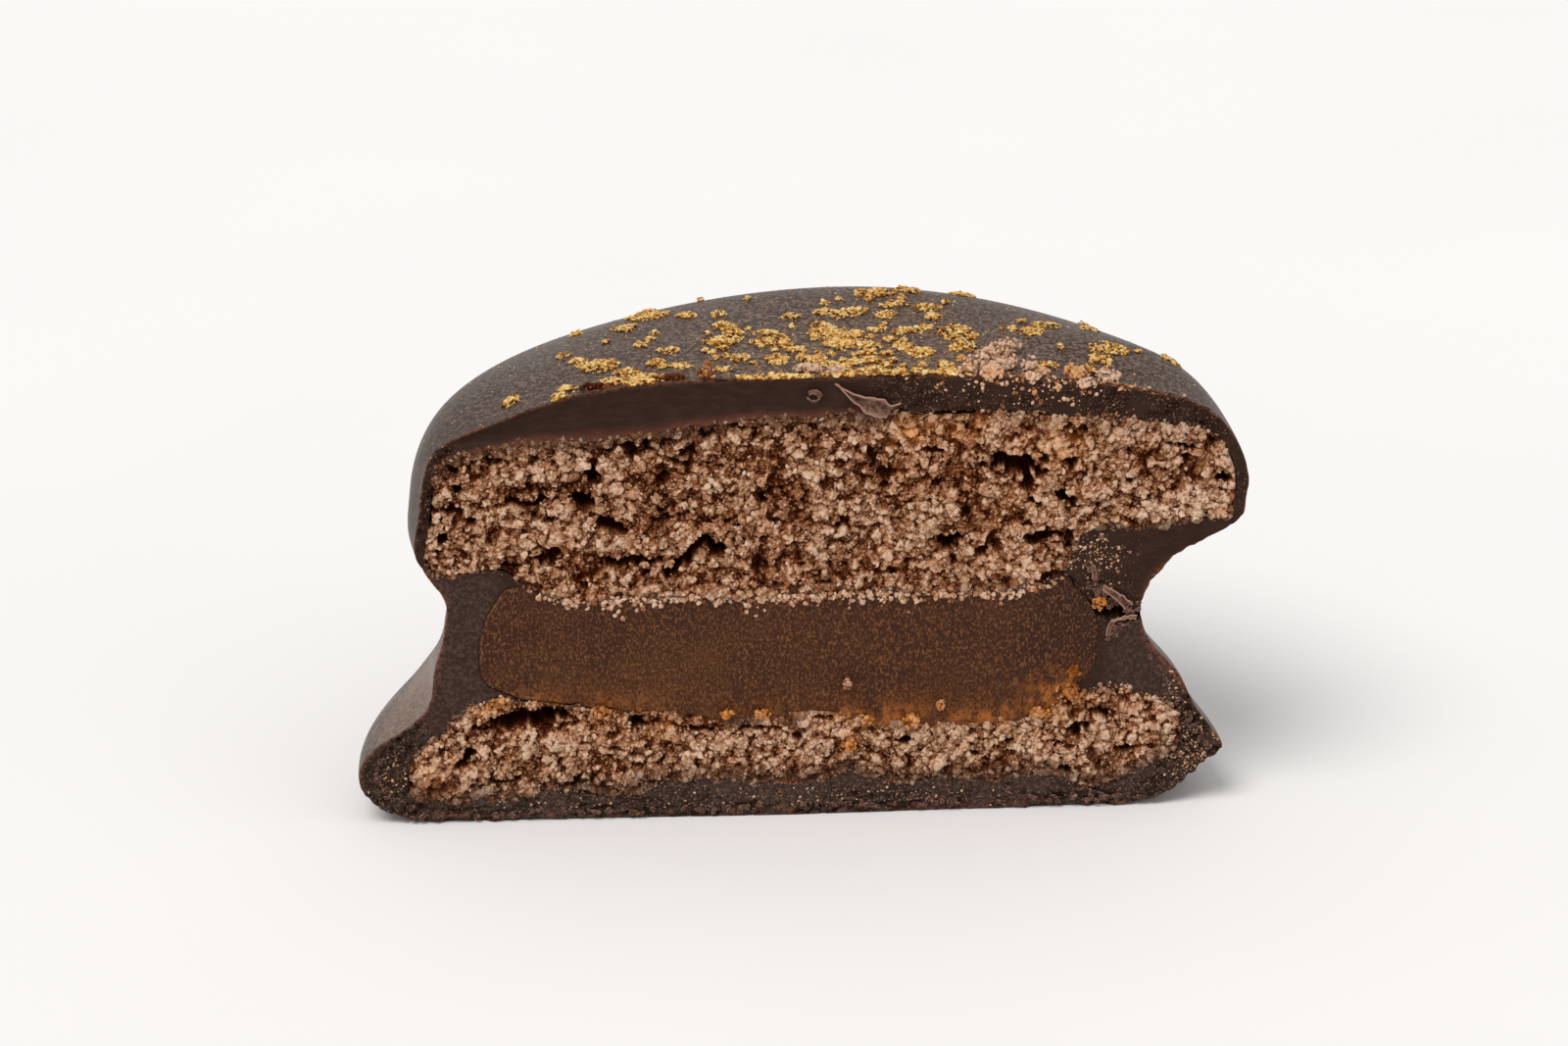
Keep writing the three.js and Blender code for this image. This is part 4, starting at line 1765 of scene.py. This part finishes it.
@dataclass
class Crumbs:
    """Loose crumbs that fell on the dome's edge, soaked ones along the filling, and a few boulders.

    Attributes:
        coating: What those on the dome lie on.
        filling: What those along the filling lie on.
        biscuit: The upper biscuit, whose lower border some of them hang from.
        seed: Seed of their draws.
        on_dome: The lumps on the dome.
        on_cut: The lumps along the filling, and the boulders.
        dustings: Where fine grit lies on the cut chocolate.
        on_edge: How many grains are sprinkled on the dome's edge.
        on_band: How many are, on the band under it.
        hanging: How many are hung over the filling.
        sunk: How far a lump on the cut is set forward of its place behind it.
    """

    coating: Surface
    filling: Surface
    biscuit: Biscuit
    seed: int = 31
    on_dome: tuple[Cluster, ...] = (
        Cluster(13.2, 0, 1.3, 0.75, 130, 0, 0.72, 1.6),
        Cluster(15.0, 0, 0.9, 0.7, 84, 0, 0.76, 1.9),
        Cluster(14.0, 0, 1.3, 0.7, 120, 0, 0.74, 3.4),
        Cluster(15.2, 0, 1.1, 0.6, 84, 0, 0.78, 5.0),
        Cluster(12.2, 0, 0.7, 0.5, 50, 0.2, 0.6, 0.9),
        Cluster(13.8, 0, 0.95, 0.6, 90, 0.3, 0.9, 0.2),
        Cluster(16.5, 0, 0.6, 0.8, 70, 0.04, 0.84, 1.2),
        Cluster(17.3, 0, 0.6, 0.4, 36, 0.2, 0.7, 0.8),
        Cluster(19.8, 0, 1.0, 0.7, 84, 0.5, 0.72, 1.0),
        Cluster(21.8, 0, 0.9, 0.6, 74, 0, 0.76, 0.9),
        Cluster(20.4, 0, 0.7, 0.4, 34, 0, 0.82, 0.1),
        Cluster(16.6, 0, 0.6, 0.3, 20, 0, 0.8, 0.1),
        Cluster(1.4, 0, 1.2, 0.4, 64, 0, 0.74, 1.3),
        Cluster(3.2, 0, 0.8, 0.45, 44, 0, 0.78, 0.9),
        Cluster(-5.6, 0, 0.62, 0.9, 84, 0.34, 0.4, 0.7),
        Cluster(-12.9, 0, 1.5, 0.22, 60, 0, 0.08, 0.7),
        Cluster(-8.0, 0, 1.3, 0.24, 50, 0.06, 0.1, 0.7),
    )
    on_cut: tuple[Cluster, ...] = (
        Cluster(-20.0, 9.0, 0.8, 0.4, 26, 0.5, 0.5),
        Cluster(-12.9, 8.0, 0.8, 0.55, 36, 0.55, 0.55),
        Cluster(-4.3, 7.7, 0.5, 0.38, 24, 0.8, 0.6),
        Cluster(-1.9, 7.6, 0.55, 0.38, 24, 0.75, 0.6),
        Cluster(4.1, 5.2, 0.55, 0.45, 26, 0.7, 0.6),
        Cluster(8.3, 6.9, 0.8, 0.55, 44, 0.85, 0.6),
        Cluster(5.3, 6.9, 0.6, 0.4, 26, 0.6, 0.5),
        Cluster(10.5, 8.0, 0.35, 0.32, 18, 0.6, 0.5),
        Cluster(4.0, 9.7, 0.4, 0.36, 18, 0.15, 0.4),
        Cluster(17.3, 7.2, 0.8, 0.45, 36, 0.7, 0.55),
        Cluster(19.4, 8.6, 1.0, 0.7, 40, 0.55, 0.45),
        Cluster(19.6, 10.4, 0.6, 0.6, 22, 0.8, 0.3),
        Cluster(21.4, 15.2, 0.5, 0.5, 30, 0.75, 0.6),
        Cluster(-2.8, 21.9, 1.3, 1.1, 120, 0.08, 0.56, 0.75),  # three boulders of the upper crumb
        Cluster(-3.1, 25.3, 1.2, 0.9, 100, 0.02, 0.52, 0.7),
        Cluster(9.2, 19.6, 0.9, 0.8, 60, 0.05, 0.56, 0.6),
    )
    dustings: tuple[Dusting, ...] = (
        Dusting(21.2, 18.8, 1.2, 1.1, 230),  # where the upper biscuit crumbled over the wedge
        Dusting(-27.4, 3.6, 0.9, 0.9, 70),
        Dusting(27.7, 3.9, 1.1, 1.3, 320),
        Dusting(26.7, 8.4, 0.5, 1.2, 60),
        Dusting(0.0, 1.3, 13.0, 0.5, 260),
    )
    on_edge: int = 170
    on_band: int = 135
    hanging: int = 700
    sunk: float = 0.2

    def _sprinkle_edge(self, scatter: Scatter) -> None:
        """Sprinkles pale grains along the right half of the dome's edge and on the band under it."""
        rng = scatter.rng
        for _ in range(self.on_edge):
            x = rng.triangular(8, 27.5, 18)
            hit = self.coating.from_above(x, abs(rng.gauss(0, 0.5)) + 0.02)
            if hit and hit[0].z > 24:
                look = Look(rng.uniform(0.35, 0.85), 0, 0.5 * rng.random())
                scatter.add(hit[0], hit[1], 0.05 + 0.13 * rng.random() ** 2, look)
        for _ in range(self.on_band):
            x = rng.triangular(7, 26, 16)
            roof = 31.95 - 0.0023 * x * x
            hit = self.coating.from_front(x, roof - 2.0 * rng.random() ** 1.6)
            if hit and hit[0].y < 1.2:
                look = Look(rng.uniform(0.25, 0.88), 0, 0.7 * rng.random() ** 3)
                near = bump(x, 17, 2.6)
                scatter.add(hit[0], hit[1], 0.04 + (0.12 + 0.1 * near) * rng.random() ** 3, look)

    def _hang_over_filling(self, scatter: Scatter) -> None:
        """Hangs grains from the upper biscuit's lower border over the filling."""
        rng = scatter.rng
        for _ in range(self.hanging):
            x = rng.uniform(-18.0, 18.8)
            hang = 0.28 + 0.5 * max(0.0, ripple(x, 0, 0, 1.1, 3.6))
            hit = self.filling.from_front(x, self.biscuit.underside(x) + 0.15 - abs(rng.gauss(0, hang)))
            if hit:
                size = rng.uniform(0.08, 0.22)
                look = Look(clamp(rng.gauss(0.6, 0.17)))
                scatter.add(hit[0] + FORWARD * size * rng.uniform(0, 0.7), FORWARD, size, look, lumpy=0.36)

    def make(self) -> bmesh.types.BMesh:
        """Returns all the crumbs as one mesh."""
        scatter = Scatter(Shape.PEBBLE, self.seed)
        for cluster in self.on_dome:
            hit = self.coating.from_above(cluster.x, cluster.behind)
            if hit:
                cluster.heap(scatter, hit[0] + UP * 0.45 * cluster.height)
        for cluster in self.on_cut:
            cluster.heap(scatter, Vector((cluster.x, cluster.behind - self.sunk, cluster.z)))
        for dusting in self.dustings:
            dusting.strew(scatter, self.coating)
        self._sprinkle_edge(scatter)
        self._hang_over_filling(scatter)
        return scatter.joined()

    def dress(self, pieces: Pieces, material: Material) -> None:
        """Makes the crumbs' piece."""
        pieces.add(self.make(), "loose_crumbs", material, "cocoa_crumb", shading=Shading.FACETED)


@dataclass(frozen=True)
class Shard:
    """A thin curl of broken chocolate.

    Attributes:
        x: Its middle across the cut.
        z: Its middle's height.
        length: Its length.
        width: Its greatest width.
        turn: How its length is turned, in degrees, 0 along +X.
        curl: How far its sides curl forward.
        stand: How far it stands off the cut.
        taper: How narrow its start is, as a share of the width.
        bend: How far its middle is bent aside.
    """

    x: float
    z: float
    length: float
    width: float
    turn: float
    curl: float
    stand: float
    taper: float = 0.3
    bend: float = 0.0

    THICKNESS = 0.1
    STEPS = (18, 6)  # faces along it and over it

    def make(self, seed: int) -> Mesh:
        """Returns the shard's mesh.

        Args:
            seed: Which patch of the noise its edges are torn by.
        """
        bm = bmesh.new()
        worn = bm.verts.layers.float.new("worn")
        bmesh.ops.create_grid(bm, x_segments=self.STEPS[0], y_segments=self.STEPS[1], size=1)
        for vert in bm.verts:
            along, over = vert.co.x, vert.co.y
            share = (along + 1) / 2
            edge = max(smooth(abs(over), 0.72, 1), smooth(-along, 0.5, 1))
            vert[worn] = 0.6 * edge * smooth(self.length, 0.7, 1.6)
            wide = self.width / 2 * lerp(self.taper, 1, smooth(share, 0, 0.8))
            torn = 1 + 0.5 * ripple(3 * along, over, seed, 0.8, 1.3) * abs(over)
            rise = self.curl * over * over + 0.4 * self.curl * ripple(2 * along, over, seed, 0.9, 2.6)
            aside = self.bend * (1 - along * along) + over * wide * torn
            vert.co = (along * self.length / 2 * (1 + 0.08 * over), -self.stand - rise, aside)
        bmesh.ops.recalc_face_normals(bm, faces=bm.faces)
        bmesh.ops.solidify(bm, geom=bm.faces[:], thickness=self.THICKNESS)
        turn = Matrix.Rotation(math.radians(-self.turn), 4, "Y")
        bmesh.ops.transform(bm, matrix=Matrix.Translation((self.x, 0, self.z)) @ turn, verts=bm.verts)
        return baked(bm, "shard")


@dataclass(frozen=True)
class Trail:
    """A line on the cut that small chips of chocolate lie along.

    Attributes:
        points: Its corners, across and up.
        chips: How many chips lie along it.
        stray: How far off it they lie.
        longest: Length of the longest chip.
        turned: How far they are turned, in degrees.
    """

    points: tuple[Point, ...]
    chips: int
    stray: float
    longest: float
    turned: float

    LOWEST = 0.45  # keeps a turned chip off the floor

    def lay(self, rng: random.Random) -> Iterator[Shard]:
        """Yields its chips.

        Args:
            rng: The draws.
        """
        for _ in range(self.chips):
            place = rng.random() * (len(self.points) - 1)
            start, end = self.points[int(place)], self.points[int(place) + 1]
            x = lerp(start[0], end[0], place % 1) + rng.gauss(0, self.stray)
            z = max(self.LOWEST, lerp(start[1], end[1], place % 1) + rng.gauss(0, self.stray))
            length = self.longest * rng.uniform(0.35, 1)
            width = length * rng.uniform(0.25, 0.6)
            turn = rng.gauss(0, self.turned)
            stand = rng.uniform(-0.12, 0.06)
            yield Shard(x, z, length, width, turn, curl=0.1, stand=stand, taper=0.5, bend=0.06)


@dataclass
class Shards:
    """The curled shard on the top band, the flakes at the torn waist, and trails of small chips.

    Attributes:
        shards: The larger curls, listed one by one.
        trails: Where the small chips lie.
        seed: Seed of the chips' draws.
    """

    shards: tuple[Shard, ...] = (
        Shard(5.1, 30.6, 4.3, 1.3, -27, 0.4, 0.12, 0.12, -0.35),
        Shard(1.7, 30.75, 0.9, 0.26, -20, 0.1, 0.1, 0.6, 0.25),
        Shard(1.6, 30.55, 0.8, 0.24, -10, 0.1, 0.1, 0.6, -0.2),
        Shard(22.5, 15.6, 2.3, 0.5, -38, 0.2, 0.08, 0.5, 0.1),
        Shard(20.9, 17.4, 1.1, 0.2, -80, 0.1, 0.05, 0.6, 0.1),
        Shard(23.1, 13.95, 1.7, 0.3, 10, 0.15, 0.03, 0.5, 0.1),
        Shard(22.2, 13.3, 1.2, 0.18, 70, 0.08, 0.05, 0.5, 0.1),
    )
    trails: tuple[Trail, ...] = (
        Trail(((-26, 0.6), (-8, 0.55), (8, 0.6), (25, 0.65)), 120, 0.16, 0.5, 55),  # the base's edge
        Trail(((20.8, 18.2), (21.0, 16.4), (21.9, 14.9), (24.0, 14.6)), 34, 0.24, 0.6, 70),  # the waist
        Trail(((24.0, 13.8), (22.6, 13.4), (22.2, 12.4)), 12, 0.14, 0.7, 50),
        Trail(((24.9, 11.2), (26.5, 8.6), (27.9, 6.2), (29.1, 4.1)), 30, 0.12, 0.4, 80),  # the right flank
        Trail(((-28.3, 5.0), (-28.6, 3.4), (-27.2, 1.4)), 16, 0.12, 0.4, 80),
    )
    seed: int = 41

    def make(self) -> bmesh.types.BMesh:
        """Returns all the curls and chips as one mesh."""
        rng = random.Random(self.seed)
        chips = [chip for trail in self.trails for chip in trail.lay(rng)]
        meshes = (shard.make(seed) for seed, shard in enumerate((*self.shards, *chips)))
        return gathered(meshes, "worn")

    def dress(self, pieces: Pieces, material: Material) -> None:
        """Makes the shards' piece."""
        pieces.add(self.make(), "chocolate_shards", material, "chocolate", shading=Shading.CREASED)


# ------------------------------
# Gold
# ------------------------------


@dataclass
class GoldDust:
    """Gold dust dabbed on the crown with a brush, in the same places as the solid's dabs, and round them.

    Attributes:
        coating: What it lies on.
        count: How many dabs the whole crown has.
        reach: Radius of the dusted patch.
        crowding: An even spread is 0.5, and more crowds the middle.
        most: Radius of the largest dab.
        least: Radius of the smallest.
        dwindle: Under 1 the sizes fall off quickly, so that few dabs are large.
        behind: How many smaller dabs are tried behind the middle.
        right: How many to its right.
        edge: How many along the cut's edge on the right.
        dots: How many of the least ones along the middle of that edge.
        brushed: Dabs given one by one on the left: across, behind the cut, and radius.
        specks: How many fine specks are tried on the dome, and how many on the side.
        seed: Seed of the dabs' draws. The specks' seed is the next one.
    """

    coating: Surface
    count: int = 100
    reach: float = 22.5
    crowding: float = 0.6
    most: float = 1.75
    least: float = 0.5
    dwindle: float = 0.6
    behind: int = 76
    right: int = 52
    edge: int = 20
    dots: int = 60
    brushed: tuple[tuple[float, float, float], ...] = (
        (-12.0, 1.4, 1.0), (-10.4, 0.8, 1.0), (-9.4, 1.0, 1.1), (-10.9, 3.0, 0.9), (-15.7, 0.6, 0.6),
    )
    specks: int = 1500
    seed: int = 11

    ASIDE = 0.004  # radians that the specks on the side keep from the cut

    def dabs(self) -> Iterator[tuple[float, float, float]]:
        """Yields each dab's place across and behind the cut, and its radius."""
        golden_angle = math.pi * (3 - math.sqrt(5))
        golden_share = (math.sqrt(5) - 1) / 2
        for i in range(self.count):
            radius = lerp(self.most, self.least, (i / self.count) ** self.dwindle)
            order = i * golden_share % 1
            reach = self.reach * order**self.crowding
            angle = golden_angle * math.floor(order * self.count + 0.5) + 0.7 * draw(i, 1)
            x, y = UPPER_SHIFT + reach * math.cos(angle), reach * math.sin(angle)
            if y > 0.4 + 1.8 * radius:
                yield x, y, radius

    def small_dabs(self, rng: random.Random) -> Iterator[tuple[float, float, float]]:
        """Yields more, smaller dabs: some crowded behind the middle, some along the cut's edge."""
        for _ in range(self.behind):
            yield UPPER_SHIFT + rng.gauss(0, 9), 1.4 + abs(rng.gauss(0, 7.5)), 0.2 + 0.8 * rng.random() ** 2
        for _ in range(self.right):
            yield rng.gauss(6.6, 3.4), 1 + abs(rng.gauss(0, 6.5)), 0.25 + 0.7 * rng.random() ** 2
        for _ in range(self.edge):
            yield rng.uniform(3.2, 12), rng.uniform(0.15, 1.2), rng.uniform(0.3, 0.8)
        for _ in range(self.dots):
            yield rng.triangular(-4.0, 5, -2), rng.uniform(0.06, 0.2), 0.06 + 0.16 * rng.random() ** 2
        yield from self.brushed

    def _flakes(self, scatter: Scatter, x: float, y: float, radius: float, index: int) -> None:
        """Heaps one dab's flakes inside a lobed outline.

        Args:
            scatter: What the flakes are added to.
            x: The dab's middle across.
            y: Its middle behind the cut.
            radius: Its radius.
            index: Its number, which gives its outline.
        """
        rng = scatter.rng
        lobes = [0.5 + 0.6 * draw(index, 10 + lobe) for lobe in range(7)]
        turn = 2 * math.pi * draw(index, 2)
        stretch = 1 + 0.5 * draw(index, 3)
        for _ in range(int(6 + 46 * radius * radius)):
            share = rng.random()
            lobe = share * len(lobes)
            first, second = lobes[int(lobe)], lobes[(int(lobe) + 1) % len(lobes)]
            far = radius * lerp(first, second, lobe % 1) * rng.random() ** 0.55
            angle = 2 * math.pi * share
            along, over = stretch * far * math.cos(angle), far * math.sin(angle)
            dx = along * math.cos(turn) - over * math.sin(turn)
            dy = along * math.sin(turn) + over * math.cos(turn)
            if y + dy < 0.02:
                continue
            hit = self.coating.from_above(x + dx, y + dy)
            if not hit or hit[0].z < 22 or hit[1].z < 0.3:
                continue
            place, normal = hit
            inside = 1 - clamp(far / radius)
            size = rng.uniform(0.1, 0.2) * (0.85 + 0.4 * inside)
            # Flakes are paler towards the dab's middle and darker at its edge, around a random tone:
            # painted highlight and shade.
            tone = clamp(rng.gauss(0.34 + 0.46 * inside, 0.3))
            raised = size * rng.uniform(0.0, 0.4) + 0.22 * inside * rng.random()
            scatter.add(place + normal * raised, normal, size, Look(tone), flat=0.6, lumpy=0.35)

    def heap_dabs(self) -> bmesh.types.BMesh:
        """Returns all the dabs as one mesh of flakes."""
        scatter = Scatter(Shape.PEBBLE, self.seed)
        for index, (x, y, radius) in enumerate((*self.dabs(), *self.small_dabs(scatter.rng))):
            self._flakes(scatter, x, y, radius, index)
        return scatter.joined()

    def sprinkle(self) -> bmesh.types.BMesh:
        """Returns the fine specks all over the skin, crowded round the crown."""
        scatter = Scatter(Shape.SPECK, self.seed + 1)
        rng = scatter.rng
        for _ in range(self.specks):
            hit = self.coating.from_above(UPPER_SHIFT + rng.gauss(0, 12), abs(rng.gauss(0, 11)) + 0.3)
            if hit and hit[0].z > 20 and hit[1].z > 0.2:
                scatter.add(hit[0], hit[1], 0.03 + 0.07 * rng.random() ** 3, flat=0.7)
        for _ in range(self.specks):
            angle = rng.uniform(self.ASIDE, math.pi - self.ASIDE)
            hit = self.coating.from_side(angle, rng.uniform(0.8, 28))
            if hit and hit[0].y > 0.03:
                scatter.add(hit[0], hit[1], 0.025 + 0.05 * rng.random() ** 3, flat=0.7)
        return scatter.joined()

    def dress(self, pieces: Pieces, material: Material) -> None:
        """Makes the dabs' piece and the specks' piece."""
        pieces.add(self.heap_dabs(), "gold_dabs", material, "gold_dust", shading=Shading.FACETED)
        pieces.add(self.sprinkle(), "gold_specks", material, "gold_dust", shading=Shading.FACETED)


# ------------------------------
# Floor, light and camera
# ------------------------------


@dataclass(frozen=True)
class Studio:
    """A pale floor under soft light, seen from the front and a little above.

    Attributes:
        azimuth: The camera's turn in degrees, 0 looking along +Y and less to the left.
        elevation: The camera's height above the horizon, in degrees.
        distance: The camera's distance, in metres.
        lens: Its focal length in millimetres, on a 36 mm sensor.
        floor_size: Half the floor's side, in metres.
        key_azimuth: Where the key light comes from, turned as the camera is.
        key_elevation: Its height above the horizon, in degrees.
        key_spread: How wide the key light is, in degrees.
        key_power: Its strength.
        key_color: Its colour.
        room_power: Strength of the light from the pale room.
        room_color: The room's colour.
    """

    azimuth: float = -4.0
    elevation: float = 20.0
    distance: float = 0.54
    lens: float = 176.0
    floor_size: float = 3.0
    key_azimuth: float = -38.0
    key_elevation: float = 56.0
    key_spread: float = 34.0
    key_power: float = 1.7
    key_color: tuple[float, float, float] = (1.0, 0.985, 0.965)
    room_power: float = 0.58
    room_color: Color = (1.0, 0.99, 0.985, 1.0)

    @staticmethod
    def _direction(azimuth: float, elevation: float) -> Vector:
        """Returns the direction from the cookie towards a turn and a height, both in degrees."""
        turn, tilt = math.radians(azimuth), math.radians(elevation)
        return Vector((math.sin(turn) * math.cos(tilt), -math.cos(turn) * math.cos(tilt), math.sin(tilt)))

    def lay_floor(self, material: Material) -> Object:
        """Makes the floor."""
        bm = bmesh.new()
        bmesh.ops.create_grid(bm, x_segments=8, y_segments=8, size=self.floor_size)
        mesh = baked(bm, "floor")
        mesh.materials.append(material)
        floor = put_in_scene("floor", mesh)
        floor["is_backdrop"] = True
        return floor

    def light(self) -> None:
        """Makes the key light and the pale room, and shows their colours unaltered."""
        key = bpy.data.lights.new("key", "SUN")
        key.energy = self.key_power
        key.angle = math.radians(self.key_spread)
        key.color = self.key_color
        back = self._direction(self.key_azimuth, self.key_elevation)
        put_in_scene("key", key).rotation_euler = (-back).to_track_quat("-Z", "Y").to_euler()
        world = bpy.data.worlds.new("pale_room")
        world.use_nodes = True
        background = world.node_tree.nodes["Background"]
        background.inputs["Color"].default_value = self.room_color
        background.inputs["Strength"].default_value = self.room_power
        bpy.context.scene.world = world
        bpy.context.scene.view_settings.view_transform = "Standard"

    def place_camera(self, target: Vector) -> Object:
        """Makes the scene's camera, looking at the target."""
        back = self._direction(self.azimuth, self.elevation)
        data = bpy.data.cameras.new("camera")
        data.lens = self.lens
        camera = put_in_scene("camera", data)
        camera.location = target + self.distance * back
        camera.rotation_euler = (-back).to_track_quat("-Z", "Y").to_euler()
        bpy.context.scene.camera = camera
        return camera


# ------------------------------
# The whole
# ------------------------------

UPPER_CREVICES = (
    Crevice(-7.2, 19.2, 1.7, 0.42, 2.6, 42),
    Crevice(-5.2, 20.0, 1.0, 0.4, 2.4, -38),
    Crevice(-10.8, 19.0, 1.9, 0.3, 1.7, 2),
    Crevice(-14.3, 23.3, 0.9, 0.42, 2.0, -8),
    Crevice(-13.6, 25.3, 0.9, 0.34, 1.8, -30),
    Crevice(-12.2, 21.6, 1.0, 0.3, 1.7, -18),
    Crevice(-18.4, 23.3, 0.9, 0.22, 1.1, -15),
    Crevice(-11.0, 27.4, 0.45, 0.3, 1.2, 0),
    Crevice(-9.9, 27.5, 0.25, 0.4, 1.2, -30),
    Crevice(-24.6, 23.6, 0.35, 1.1, 1.6, 4),
    Crevice(-23.8, 20.9, 0.4, 0.35, 1.4, 0),
    Crevice(15.5, 25.2, 1.9, 0.62, 2.7, -8),
    Crevice(16.3, 23.9, 0.35, 0.75, 2.2, 10),
    Crevice(19.4, 25.3, 0.35, 0.6, 1.7, 20),
    Crevice(19.0, 22.7, 0.8, 0.3, 1.6, -25),
    Crevice(11.0, 19.9, 0.8, 0.4, 2.0, 0),
    Crevice(17.2, 20.0, 1.5, 0.36, 2.0, 6),
    Crevice(13.2, 19.2, 0.4, 0.4, 1.6, 0),
    Crevice(9.6, 26.6, 0.8, 0.2, 1.3, -6),
    Crevice(27.2, 26.4, 1.3, 0.2, 1.2, -10),
    Crevice(29.9, 24.0, 0.5, 0.4, 1.4, 0),
)
LOWER_CREVICES = (
    Crevice(-18.4, 7.5, 2.7, 0.62, 2.8, 10),
    Crevice(-22.4, 4.6, 0.9, 0.3, 1.4, 40),
    Crevice(-10.6, 7.2, 0.6, 0.36, 1.6, -30),
    Crevice(-6.7, 6.6, 1.2, 0.2, 1.5, -8),
    Crevice(-2.4, 6.5, 1.5, 0.16, 1.3, 0),
    Crevice(2.4, 7.2, 1.0, 0.14, 1.2, 0),
    Crevice(8.0, 5.4, 0.7, 0.2, 1.3, 0),
    Crevice(19.9, 5.9, 0.7, 0.4, 1.7, -20),
    Crevice(21.6, 7.1, 0.7, 0.26, 1.5, -30),
    Crevice(23.3, 4.4, 0.6, 0.26, 1.6, -10),
    Crevice(19.1, 2.9, 0.5, 0.25, 1.3, 0),
    Crevice(-20.0, 3.0, 1.2, 0.14, 1.0, 6),
)
UPPER_STAINS = (
    Stain(8.6, 27.9, 1.8, 0.6),
    Stain(12.2, 28.2, 1.3, 0.5),
    Stain(18.6, 26.6, 2.2, 0.42),
    Stain(15.0, 22.2, 2.0, 0.26),
    Stain(-3.0, 21.8, 1.3, 0.18),
    Stain(13.6, 18.6, 1.0, 0.18),
)
LOWER_STAINS = (
    Stain(-25.2, 3.7, 1.4, 0.36),
    Stain(-20.3, 8.8, 1.2, 0.5),
    Stain(-12.8, 7.8, 1.3, 0.6),
    Stain(-8.5, 6.7, 1.0, 0.4),
    Stain(4.1, 5.2, 0.8, 0.6),
    Stain(18.4, 8.2, 1.9, 0.6),
)


def main() -> None:
    """Loads the frame, then builds the cookie's parts in order."""
    logging.basicConfig(level=logging.INFO, format="%(relativeCreated)6d ms  %(message)s")
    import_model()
    cad_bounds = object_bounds()
    frame = CookieFrame.from_nodes()
    pieces = Pieces(frame)
    hair = GAP / 2

    coating = Coating(
        lower=Layer.from_node(frame, "lower_biscuit", LOWER_CORNERS, hair),
        filling=Layer.from_node(frame, "caramel_filling", FILLING_CORNERS, hair),
        upper=Layer.from_node(frame, "upper_biscuit", UPPER_CORNERS, hair),
    )
    coating.dress(pieces, ChocolateFinish().make())

    crumb = CrumbFinish("cocoa_crumb").make()
    upper = Biscuit(
        name="upper",
        node="upper_biscuit",
        layer=Layer.from_node(frame, "upper_biscuit", UPPER_CORNERS, SNUG),
        crumb=Crumb(
            patch=8.6, grain=0.54, pits=0.46, pale=0.558, paler_right=0.0064, crevices=UPPER_CREVICES
        ),
        coating=coating.surface,
        columns=640, rows=126, grains=9000, grit=8000, seed=21, soak_top=1.5, soak_bottom=0.3,
        stains=UPPER_STAINS,
    )
    upper.dress(pieces, crumb)

    lower = Biscuit(
        name="lower",
        node="lower_biscuit",
        layer=Layer.from_node(frame, "lower_biscuit", LOWER_CORNERS, SNUG),
        crumb=Crumb(
            patch=3.1, grain=0.48, pits=0.52, pale=0.622, paler_right=0.0, crevices=LOWER_CREVICES
        ),
        coating=coating.surface,
        columns=640, rows=66, grains=5200, grit=5600, seed=22, soak_top=0.3, soak_bottom=1.7,
        stains=LOWER_STAINS, amber_top=True,
    )
    lower.dress(pieces, crumb)

    filling = Filling(Layer.from_node(frame, "caramel_filling", FILLING_CORNERS, SNUG))
    filling.dress(pieces, CaramelFinish().make())

    Crumbs(coating.surface, filling.surface, upper).dress(pieces, crumb)
    Shards().dress(pieces, FlakeFinish().make())
    GoldDust(coating.surface).dress(pieces, GoldFinish().make())

    low, high = cad_bounds
    studio = Studio()
    studio.lay_floor(FloorFinish().make())
    studio.light()
    studio.place_camera((low + high) / 2)


if __name__ == "__main__":
    main()
